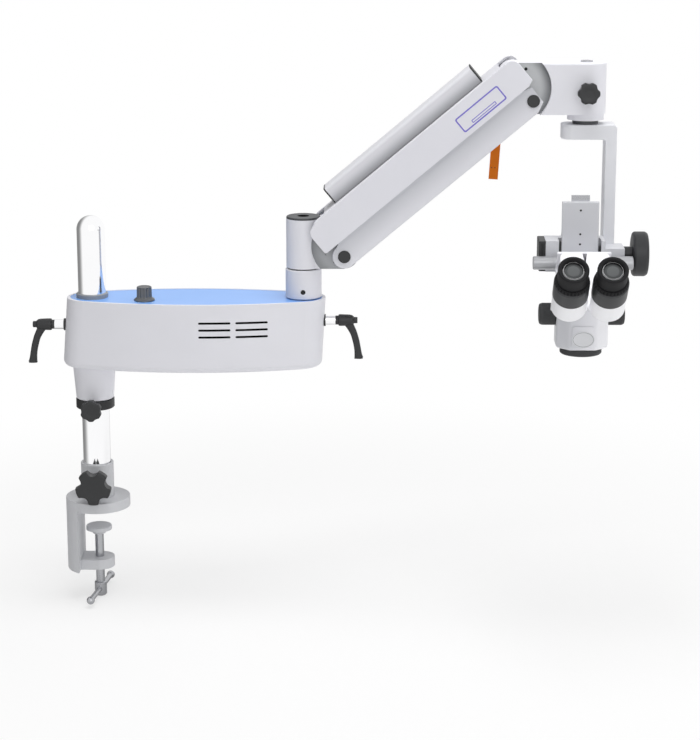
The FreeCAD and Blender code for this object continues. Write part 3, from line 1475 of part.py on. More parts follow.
def pinion_shaft():
    """Drive shaft along X with the pinion cut on its middle."""
    left = plate_middle - rack_width / 2
    start = drive_left + 2
    piece = Piece("pinion_shaft", (0, drive_y, drive_z))
    piece.pad("YZ", [Circle(0, 0, pinion_shaft_radius)], start, focus_knob_left - start + 6)
    teeth = int(pinion_teeth.number)
    piece.pad("YZ", [gear_outline(teeth, tooth_module, 0)], left, rack_width)
    keep("pinion_shaft", piece.body)


def focus_knob():
    """Large black focusing wheel with a thick neck."""
    piece = Piece("focus_knob", (0, drive_y, drive_z))
    r = focus_knob_radius
    x0 = focus_knob_left
    x1 = x0 + focus_knob_width
    neck = focus_neck_radius
    bore = pinion_shaft_radius + 0.01
    piece.turned([Point(drive_right + slide_gap, bore), Point(drive_right + slide_gap, neck),
                  Point(x0, neck), Point(x0, r - 5), Point(x0 + 1.5, r - 1.5), Point(x0 + 3, r),
                  Point(x1 - 4, r), Point(x1, r - 4), Point(x1, 12), Point(x1 - 2, 11),
                  Point(x1 - 2, 0), Point(x0 + 6.01, 0), Point(x0 + 6.01, bore)], "XZ", "H_Axis")
    keep("focus_knob", piece.body)


def slide_plate():
    """Plate that the knob raises and lowers, with two lugs that grip the tilt axle."""
    piece = Piece("slide_plate")
    left = plate_middle - plate_width / 2
    right = plate_middle + plate_width / 2
    back = plate_front + plate_thickness
    piece.pad("XZ", [rectangle(left, plate_bottom, right, plate_top)], plate_front,
              plate_thickness)
    piece.bevel(edge_round * 0.8, both(flat_at(1, plate_front), either(along(2), along(0))))
    r = lug_radius
    lug = [Point(plate_front + 1, axle_z - r), Point(axle_y, axle_z - r),
           Bend(axle_y - r, axle_z, r, -1), Bend(axle_y, axle_z + r, r, -1),
           Point(plate_front + 1, axle_z + r)]
    for x in (left, right - lug_width):
        piece.pad("YZ", [lug], x, lug_width)
        piece.cut("YZ", [Circle(axle_y, axle_z, axle_radius + 0.01)], x - 1, lug_width + 2)
    if back.number > drive_y.number:
        raise RuntimeError("the plate reaches the drive shaft")
    keep("slide_plate", piece.body)


def slide_rack():
    """Rack behind the plate, with straight-flanked teeth that mesh with the pinion."""
    pitch = tooth_module * math.pi
    line = drive_y - tooth_module * pinion_teeth / 2
    tip = line + tooth_module * 0.8
    base = line - tooth_module * 1.15
    back = plate_front + plate_thickness + 0.01
    teeth = int(rack_teeth.number)
    first = drive_z - pitch * 4.5
    corners = [Point(back, first - pitch), Point(base, first - pitch)]
    for number in range(teeth):
        middle = first + pitch * number
        corners += [Point(base, middle - pitch * 0.34), Point(tip, middle - pitch * 0.12),
                    Point(tip, middle + pitch * 0.12), Point(base, middle + pitch * 0.34)]
    corners += [Point(base, rack_top), Point(back, rack_top)]
    piece = Piece("slide_rack")
    piece.pad("YZ", [corners], plate_middle - rack_width / 2, rack_width)
    keep("slide_rack", piece.body)


def tilt_axle():
    """Bright cross bar in the slide's lugs; the microscope head tilts about it."""
    piece = Piece("tilt_axle", (0, axle_y, axle_z))
    r = axle_radius
    piece.turned([Point(axle_left, 0), Point(axle_left, r - 1.5), Point(axle_left + 1.5, r),
                  Point(axle_right - 1.5, r), Point(axle_right, r - 1.5), Point(axle_right, 0)],
                 "XZ", "H_Axis")
    keep("tilt_axle", piece.body)


# Microscope head

def body_outline(grow):
    """The head's eight-sided section, with wide flats in front and at the sides."""
    x = body_half_width + grow
    y = body_half_depth + grow
    a = body_flat_width / 2 + 3
    b = body_side_flat / 2
    return [Point(head_x - a, head_y - y), Point(head_x + a, head_y - y),
            Point(head_x + x, head_y - b), Point(head_x + x, head_y + b),
            Point(head_x + a, head_y + y), Point(head_x - a, head_y + y),
            Point(head_x - x, head_y + b), Point(head_x - x, head_y - b)]


def tube_point(along_tube, up):
    """The (y, z) of a point given along the tubes' axis and square to it."""
    c, s = cosine(tube_rise), sine(tube_rise)
    along_tube, up = as_size(along_tube), as_size(up)
    return (eye_y - along_tube * c + up * s, eye_z + along_tube * s + up * c)


def head_body():
    """Head casting: upright body, neck up to the binocular base and a bearing for the axle."""
    piece = Piece("head_body")
    piece.pad("XY", [body_outline(zero)], body_bottom, body_top - body_bottom)
    piece.round(as_size(9), along(2))
    piece.round(as_size(5), flat_at(2, body_bottom))
    behind = box_front + box_depth + base_thickness
    slope = [Point(*tube_point(-behind, 10)), Point(*tube_point(-behind, 52)),
             Point(*tube_point(-behind + 30, 52)), Point(*tube_point(-behind + 30, 10))]
    piece.cut("YZ", [slope], head_x - 40, as_size(80))
    front = head_y - body_half_depth - pad_rise
    half = pad_width_front / 2
    pad = [Point(head_x - half, body_bottom + 6), Point(head_x + half, body_bottom + 6),
           Point(head_x + half, pad_top_front - 4), Bend(head_x + half - 4, pad_top_front, 4),
           Point(head_x - half + 4, pad_top_front), Bend(head_x - half, pad_top_front - 4, 4)]
    piece.pad("XZ", [pad], front, pad_rise + 3)
    low_y, low_z = tube_point(-behind, swing_height - 42)
    high_y, high_z = tube_point(-behind, swing_height + 12)
    back = head_y + body_half_depth - 4
    neck = [Point(low_y, low_z), Point(back, body_top - 20), Point(back, body_top + 16),
            Point(high_y + 8, high_z), Point(high_y, high_z)]
    reach = plate_width / 2 - lug_width - slide_gap
    neck_half = reach + gib_width * 2
    piece.pad("YZ", [neck], head_x - neck_half, neck_half * 2)
    r = lug_radius
    bearing = [Point(axle_y - r, body_top + 10), Point(axle_y + r - 9.5, body_top + 10),
               Point(axle_y + r, axle_z), Bend(axle_y, axle_z + r, r), Bend(axle_y - r, axle_z,
                                                                            r)]
    piece.pad("YZ", [bearing], plate_middle - reach, reach * 2)
    clear = [Point(axle_y - 2 - r, body_top + 12), Point(axle_y + 60, body_top + 12),
             Point(axle_y + 60, axle_z + 60), Point(axle_y - 2 - r, axle_z + 60)]
    for x in (head_x - 31, plate_middle + reach):
        width = plate_middle - reach - head_x + 31 if x.number < head_x.number else as_size(31)
        piece.cut("YZ", [clear], x, width)
    piece.cut("YZ", [Circle(axle_y, axle_z, axle_radius + pin_fit)], plate_middle - reach - 1,
              reach * 2 + 2)
    paths = [Circle(head_x + light_path_offset * side, head_y, light_path_radius)
             for side in (-1, 1)]
    piece.cut("XY", paths, body_bottom - 1, body_top - body_bottom)
    piece.cut("XY", [Circle(head_x, head_y, objective_bore + 2)], body_bottom - 1, as_size(5))
    piece.cut("YZ", [Circle(head_y, drum_z, drum_radius + pin_fit)],
              head_x - body_half_width - 1, body_half_width * 2 + 2)
    keep("head_body", piece.body)


def objective():
    """Black objective ring screwed in the head's foot, and its front lens."""
    bottom = body_bottom - objective_height
    piece = Piece("objective_mount", (head_x, head_y, 0))
    r = objective_radius
    bore = objective_bore
    piece.turned([Point(bore, bottom + 3), Point(bore + 2, bottom), Point(r - 1.5, bottom),
                  Point(r, bottom + 1.5), Point(r, body_bottom - 1.5), Point(r - 1, body_bottom),
                  Point(bore + 2 - pin_fit, body_bottom), Point(bore + 2 - pin_fit,
                                                                body_bottom + 3.5),
                  Point(bore - 1, body_bottom + 3.5), Point(bore - 1, body_bottom - 1),
                  Point(bore, body_bottom - 1)])
    keep("objective_mount", piece.body)
    lens = Piece("objective_lens", (head_x, head_y, 0))
    rim = bore - 0.01
    top = body_bottom - 1.01
    lens.turned([Point(0, bottom + 2.5), Bend(rim, bottom + 4, 180), Point(rim, top),
                 Point(0, top)])
    keep("objective_lens", lens.body)


def magnification_changer():
    """Drum with crossed lens bores, turned by the knob on either side."""
    drum = Piece("magnification_drum", (0, head_y, drum_z))
    half = body_half_width
    drum.pad("YZ", [Circle(0, 0, drum_radius)], head_x - half + 1, half * 2 - 2)
    hole = as_size(5.5)
    for angle in (0, 90):
        plane = "XY" if angle == 0 else "XZ"
        for side in (-1, 1):
            drum.cut(plane, [Circle(head_x + light_path_offset * side, 0, hole)],
                     -drum_radius - 1, drum_radius * 2 + 2)
    knobs = []
    for side in (-1, 1):
        knob = Piece("magnification_knob_" + ("left" if side < 0 else "right"),
                     (head_x + (body_half_width + slide_gap) * side, head_y, drum_z),
                     (0, 1, 0), 90 * side)
        reach = mag_knob_reach - body_half_width - slide_gap
        r = mag_knob_radius
        knob.turned([Point(0, -slide_gap * 2), Point(8, -slide_gap * 2), Point(8, 0),
                     Point(r - 1, 0), Point(r, 1), Point(r, reach - 2), Point(r - 2, reach),
                     Point(0, reach)])
        flute = knob.cut("XY", [Circle(0, r + 1, 1.6)], -1, reach + 2)
        knob.ring_of(flute, 20)
        knobs.append(knob.body)
    keep("magnification_changer", drum.body, *knobs)


def tube_piece(node, side, along_tube=0):
    """A body whose own Z runs up one eyepiece tube from a point along it."""
    y, z = tube_point(along_tube, 0)
    return Piece(node, (head_x + tube_half_spacing * side, y, z), (1, 0, 0), tube_rise)


def binocular_base():
    """Sloping plate behind the two prism boxes, with a lip over them."""
    y, z = tube_point(-box_front - box_depth - base_thickness, 0)
    piece = Piece("binocular_base", (head_x, y, z), (1, 0, 0), tube_rise)
    half = base_half_width
    lip = swing_height + box_top_rise + lip_gap
    low = swing_height - 40
    high = lip + lip_thickness
    outline = [Point(8 - half, low), Point(half - 8, low), Point(half, lip - 14),
               Point(half, high - 2), Bend(half - 2, high, 2), Point(2 - half, high),
               Bend(-half, high - 2, 2), Point(-half, lip - 14)]
    piece.pad("XY", [outline], 0.01, base_thickness - slide_gap)
    top = [Point(-half, lip), Point(half, lip), Point(half, high - 2), Bend(half - 2, high, 2),
           Point(2 - half, high), Bend(-half, high - 2, 2)]
    piece.pad("XY", [top], 0.01, lip_depth)
    piece.cut("XY", [Circle(swing_offset * side, swing_height, swing_boss_radius + pin_fit)
                     for side in (-1, 1)], -1, base_thickness + 1)
    keep("binocular_base", piece.body)


def prism_box(side):
    """Swinging prism box with its white tube, and the hollow boss that it turns on."""
    node = ("left" if side < 0 else "right") + "_prism_box"
    piece = tube_piece(node, side, -box_front - box_depth)
    r = box_lobe_radius
    hinge_x = (swing_offset - tube_half_spacing) * side
    inner = (swing_offset - slide_gap) * -side + hinge_x
    top = swing_height + box_top_rise
    outer = hinge_x + (box_top_half_width - swing_offset) * side
    relief = inner + box_top_rise * 0.17 * side
    tangent = tube_half_spacing - slide_gap
    corners = [Point(relief, top), Point(inner, swing_height), Point(-tangent * side, 6),
               Bend(0, -r, r + 2.4, side * 1), Bend(r * side, 0, r, side * 1),
               Point(outer, swing_height - 20), Point(outer, top - 6),
               Bend(outer - 6 * side, top, 6, side * 1)]
    piece.pad("XY", [corners], 0.01, box_depth - 0.01)
    below = [Point(box_low_edge, box_depth + 1), Point(box_low_edge, box_depth),
             Point(box_low_edge + box_depth + 1, -1), Point(-50, -1), Point(-50, box_depth + 1)]
    piece.cut("YZ", [below], as_size(-70), as_size(140))
    tube_r = tube_radius
    piece.pad("XY", [Circle(0, 0, tube_r)], box_depth - 0.01, tube_length)
    bore = tube_r - 6
    piece.cut("XY", [Circle(0, 0, bore)], box_depth + tube_floor, tube_length)
    boss = Circle(hinge_x, swing_height, swing_boss_radius)
    piece.pad("XY", [boss], 1 - base_thickness, base_thickness)
    piece.cut("XY", [Circle(hinge_x, swing_height, swing_boss_bore)], -base_thickness,
              base_thickness + 12)
    keep(node, piece.body)


def eyepiece(side):
    """Black eyepiece barrel: a wide ribbed sleeve on a spigot in the white tube."""
    name = "left" if side < 0 else "right"
    piece = tube_piece(name + "_eyepiece", side, -box_front + tube_length)
    spigot = tube_radius - 6 - pin_fit
    inner = eye_lens_radius + 1
    top = barrel_length
    piece.turned([Point(inner, -20), Point(spigot, -20), Point(spigot, 0.01),
                  Point(barrel_radius - 0.6, 0.01), Point(barrel_radius, 0.6),
                  Point(barrel_radius, top - 9), Point(barrel_radius - 1.5, top - 7),
                  Point(barrel_radius - 2.5, top - 1), Point(barrel_radius - 3.5, top),
                  Point(inner, top)])
    keep(name + "_eyepiece", piece.body)
    start = -box_front + tube_length + barrel_length + slide_gap
    cup = tube_piece(name + "_dioptre_ring", side, start)
    height = eyecup_reach - start
    r = eyecup_radius
    lens = eye_lens_radius
    cup.turned([Point(lens + 0.02, 0), Point(r, 0), Point(r, height - 2.5),
                Point(r - 1.2, height), Point(r - 2.6, height),
                Point(lens + 1.2, height - eye_lens_depth),
                Point(lens + 0.02, height - eye_lens_depth)])
    keep(name + "_dioptre_ring", cup.body)
    glass = tube_piece(name + "_eye_lens", side, start)
    crown = height - eye_lens_depth - 0.5
    bulge = as_size(50)
    sag = bulge - root(bulge * bulge - lens * lens)
    glass.turned([Point(0, 1), Point(lens, 1), Point(lens, crown - sag), Bend(0, crown, bulge)])
    keep(name + "_eye_lens", glass.body)


def build():
    """Makes every sub-part in turn."""
    for make in (clamp_frame, post_sleeve, clamp_pad, clamp_screw, tommy_bar, post, stop_ring,
                 clamp_knobs, housing_shell, top_panel, collar, post_ferrule, arm_beam, bushes,
                 power_unit, heat_sink, dial, levers, column_ring, column_trim, arm_root,
                 lower_shell, pivot_pins, pivot_caps, upper_shell, link_bars, spring_cover,
                 gas_spring, arm_lock_lever, head_block, head_lock_knob, crank_spindle,
                 swivel_ring, crank_bracket, focus_housing, focus_trim, pinion_shaft, focus_knob,
                 slide_plate, slide_rack, tilt_axle, head_body, objective, magnification_changer,
                 binocular_base):
        make()
    for side in (-1, 1):
        prism_box(side)
        eyepiece(side)


def write_parts():
    """Checks every object, then writes one file for each node."""
    doc.recompute()
    bad = [thing.Label for thing in doc.Objects if failed(thing)]
    if bad:
        raise RuntimeError("failed objects: " + ", ".join(bad))
    bad = [node.Label for node in nodes if node.Shape.isNull() or not node.Shape.isValid()]
    if bad:
        raise RuntimeError("no valid shape: " + ", ".join(bad))
    for node in nodes:
        node.Shape.exportStep("parts/" + node.Label + ".step")
    print(len(nodes), "nodes,", sum(len(node.Shape.Faces) for node in nodes), "faces")


build()
write_parts()
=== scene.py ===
import json
import math

import bmesh
import bpy
from mathutils import Matrix, Vector
from mathutils.bvhtree import BVHTree


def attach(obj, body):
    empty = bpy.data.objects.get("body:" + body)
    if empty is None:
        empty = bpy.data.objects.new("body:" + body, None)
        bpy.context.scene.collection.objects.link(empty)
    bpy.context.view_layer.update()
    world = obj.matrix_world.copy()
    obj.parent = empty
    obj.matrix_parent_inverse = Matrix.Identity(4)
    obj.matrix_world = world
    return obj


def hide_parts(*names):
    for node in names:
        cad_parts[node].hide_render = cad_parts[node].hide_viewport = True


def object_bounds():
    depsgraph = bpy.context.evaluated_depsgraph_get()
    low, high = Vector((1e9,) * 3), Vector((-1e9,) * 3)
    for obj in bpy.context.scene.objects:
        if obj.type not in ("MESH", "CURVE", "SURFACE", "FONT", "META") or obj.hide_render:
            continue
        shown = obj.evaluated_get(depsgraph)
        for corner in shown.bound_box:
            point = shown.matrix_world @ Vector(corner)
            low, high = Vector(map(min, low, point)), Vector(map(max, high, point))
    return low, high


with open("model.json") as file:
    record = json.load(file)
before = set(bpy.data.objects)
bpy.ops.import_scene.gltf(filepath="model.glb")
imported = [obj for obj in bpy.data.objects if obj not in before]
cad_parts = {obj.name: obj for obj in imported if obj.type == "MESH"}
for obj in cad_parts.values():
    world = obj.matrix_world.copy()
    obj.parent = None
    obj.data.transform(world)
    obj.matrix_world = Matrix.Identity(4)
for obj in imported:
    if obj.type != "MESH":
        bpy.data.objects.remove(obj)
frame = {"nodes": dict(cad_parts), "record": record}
cad_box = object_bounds()
mm = 0.001
crisp = 32          # degrees; an edge that turns by more keeps its line


# Materials

def colour(text):
    """A linear colour from an sRGB hex value."""
    parts = [int(text[i:i + 2], 16) / 255 for i in (1, 3, 5)]
    return [c / 12.92 if c <= 0.04045 else ((c + 0.055) / 1.055) ** 2.4 for c in parts] + [1]


def add(tree, kind, feeds=None, **settings):
    """Adds one node.

    Settings name its properties or sockets. Feeds name a socket, or count to it, and give it
    another node's output or a value."""
    node = tree.nodes.new("ShaderNode" + kind)
    for name, value in settings.items():
        if hasattr(node, name):
            setattr(node, name, value)
        else:
            node.inputs[name.replace("_", " ")].default_value = value
    for name, source in (feeds or {}).items():
        socket = node.inputs[name]
        if isinstance(source, bpy.types.NodeSocket):
            tree.links.new(source, socket)
        else:
            socket.default_value = source
    return node


def surface(name, **shader):
    """A material with one Principled shader; returns it, its tree and its shader."""
    material = bpy.data.materials.new(name)
    material.use_nodes = True
    tree = material.node_tree
    principled = tree.nodes["Principled BSDF"]
    for key, value in shader.items():
        principled.inputs[key.replace("_", " ")].default_value = value
    return material, tree, principled


def grained(name, base, shade, rough, rough_end, grain_mm, depth, stretch=(1, 1, 1), **shader):
    """A finish whose colour and gloss drift slowly, over a fine grain of a real size.

    Grain and depth are in millimetres. Stretch draws the grain out along the row axes, as
    brushing or turning does."""
    drift_mm = 60
    material, tree, principled = surface(name, **shader)
    place = add(tree, "TexCoord").outputs["Object"]
    drift = add(tree, "TexNoise", {"Vector": place}, Scale=1 / (drift_mm * mm), Detail=3.0)
    tint = add(tree, "Mix", {"Factor": drift.outputs["Fac"], "A": colour(base),
                             "B": colour(shade)}, data_type="RGBA")
    gloss = add(tree, "MapRange", {"Value": drift.outputs["Fac"]}, To_Min=rough, To_Max=rough_end)
    drawn = add(tree, "Mapping", {"Vector": place, "Scale": [1 / s for s in stretch]})
    grain = add(tree, "TexNoise", {"Vector": drawn.outputs["Vector"]}, Scale=1 / (grain_mm * mm),
                Detail=2.0)
    bump = add(tree, "Bump", {"Height": grain.outputs["Fac"]}, Strength=0.6, Distance=depth * mm)
    tree.links.new(tint.outputs["Result"], principled.inputs["Base Color"])
    tree.links.new(gloss.outputs["Result"], principled.inputs["Roughness"])
    tree.links.new(bump.outputs["Normal"], principled.inputs["Normal"])
    return material


def recessed_painted_shade(name, outer, inner, wall_painted_shade, middle, radius, depth, rough, **shader):
    """A casting painted outside; its milled flanks in a round recess are grey, partly bare metal
    and partly painted shade.

    Middle and radius give the recess in the row's X and Z, and depth its flank's distance from
    the middle plane, all in millimetres. The flanks darken towards the wall as painted shade."""
    shadow = 16
    past_flank, past_wall, faces_out = 0.6, 0.4, 0.8
    grain_mm, grain_depth = 1.2, 0.03
    material, tree, principled = surface(name, Roughness=rough, **shader)
    coordinates = add(tree, "TexCoord")
    place = coordinates.outputs["Object"]
    axes = add(tree, "SeparateXYZ", {"Vector": place})
    away = add(tree, "Math", {0: axes.outputs["Y"]}, operation="ABSOLUTE")
    shallow = add(tree, "Math", {0: away.outputs[0], 1: (depth + past_flank) * mm},
                  operation="LESS_THAN")
    facing = add(tree, "SeparateXYZ", {"Vector": coordinates.outputs["Normal"]})
    tilt = add(tree, "Math", {0: facing.outputs["Y"]}, operation="ABSOLUTE")
    flank = add(tree, "Math", {0: tilt.outputs[0], 1: faces_out}, operation="GREATER_THAN")
    flat = add(tree, "CombineXYZ", {"X": axes.outputs["X"], "Z": axes.outputs["Z"]})
    reach = add(tree, "VectorMath", {0: flat.outputs[0], 1: (middle[0] * mm, 0, middle[1] * mm)},
                operation="DISTANCE")
    inside = add(tree, "Math", {0: reach.outputs["Value"], 1: (radius + past_wall) * mm},
                 operation="LESS_THAN")
    # Painted shade: the grey flanks darken towards the recess's wall.
    wall = add(tree, "MapRange", {"Value": reach.outputs["Value"]},
               From_Min=(radius - shadow) * mm, From_Max=radius * mm,
               interpolation_type="SMOOTHSTEP")
    bare = add(tree, "Mix", {"Factor": wall.outputs["Result"], "A": colour(inner),
                             "B": colour(wall_painted_shade)}, data_type="RGBA")
    both = add(tree, "Math", {0: shallow.outputs[0], 1: flank.outputs[0]}, operation="MULTIPLY")
    share = add(tree, "Math", {0: both.outputs[0], 1: inside.outputs[0]}, operation="MULTIPLY")
    tint = add(tree, "Mix", {"Factor": share.outputs[0], "A": colour(outer),
                             "B": bare.outputs["Result"]}, data_type="RGBA")
    grain = add(tree, "TexNoise", {"Vector": place}, Scale=1 / (grain_mm * mm), Detail=2.0)
    bump = add(tree, "Bump", {"Height": grain.outputs["Fac"]}, Strength=0.5,
               Distance=grain_depth * mm)
    tree.links.new(tint.outputs["Result"], principled.inputs["Base Color"])
    tree.links.new(bump.outputs["Normal"], principled.inputs["Normal"])
    return material


def painted_light_and_shade_ramp(name, top, foot, place, normal, low, high, rough, **shader):
    """A coat with painted light and shade: its colour ramps from the foot colour to the top colour
    between two heights along a normal from a place.
    """
    material, tree, principled = surface(name, Roughness=rough, **shader)
    start = add(tree, "VectorMath", {0: add(tree, "TexCoord").outputs["Object"],
                                     1: Vector(place) * mm}, operation="SUBTRACT")
    height = add(tree, "VectorMath", {0: start.outputs[0], 1: normal}, operation="DOT_PRODUCT")
    rise = add(tree, "MapRange", {"Value": height.outputs["Value"]}, From_Min=low * mm,
               From_Max=high * mm, interpolation_type="SMOOTHSTEP")
    tint = add(tree, "Mix", {"Factor": rise.outputs["Result"], "A": colour(foot),
                             "B": colour(top)}, data_type="RGBA")
    tree.links.new(tint.outputs["Result"], principled.inputs["Base Color"])
    return material


# Layout of the part, in millimetres and degrees
ARM = 40                                # the arm's rise at rest
ARM_NORMAL = (-math.sin(math.radians(ARM)), 0, math.cos(math.radians(ARM)))
PIVOT = (365.8, 0, 381.6)               # the lower link's pivot at the column
UPPER_TOP = 66.0                        # the upper cover's top above the line of lower pivots
COVER_FACE = 22                         # the spring cover's front from the middle plane
COLUMN = 306.5                          # the column's x
SWIVEL = 707.05                         # the crank spindle's x
HEAD = (699.5, -97)                     # the head's upright axis, x and y
EYE = (-243, 402)                       # the eyepieces' rims, y and z
EYE_OFFSET = 26.2                       # each eyepiece's axis from the middle of the head
DIAL = (78, -24, 315.9)                 # the dial's foot on the blue panel

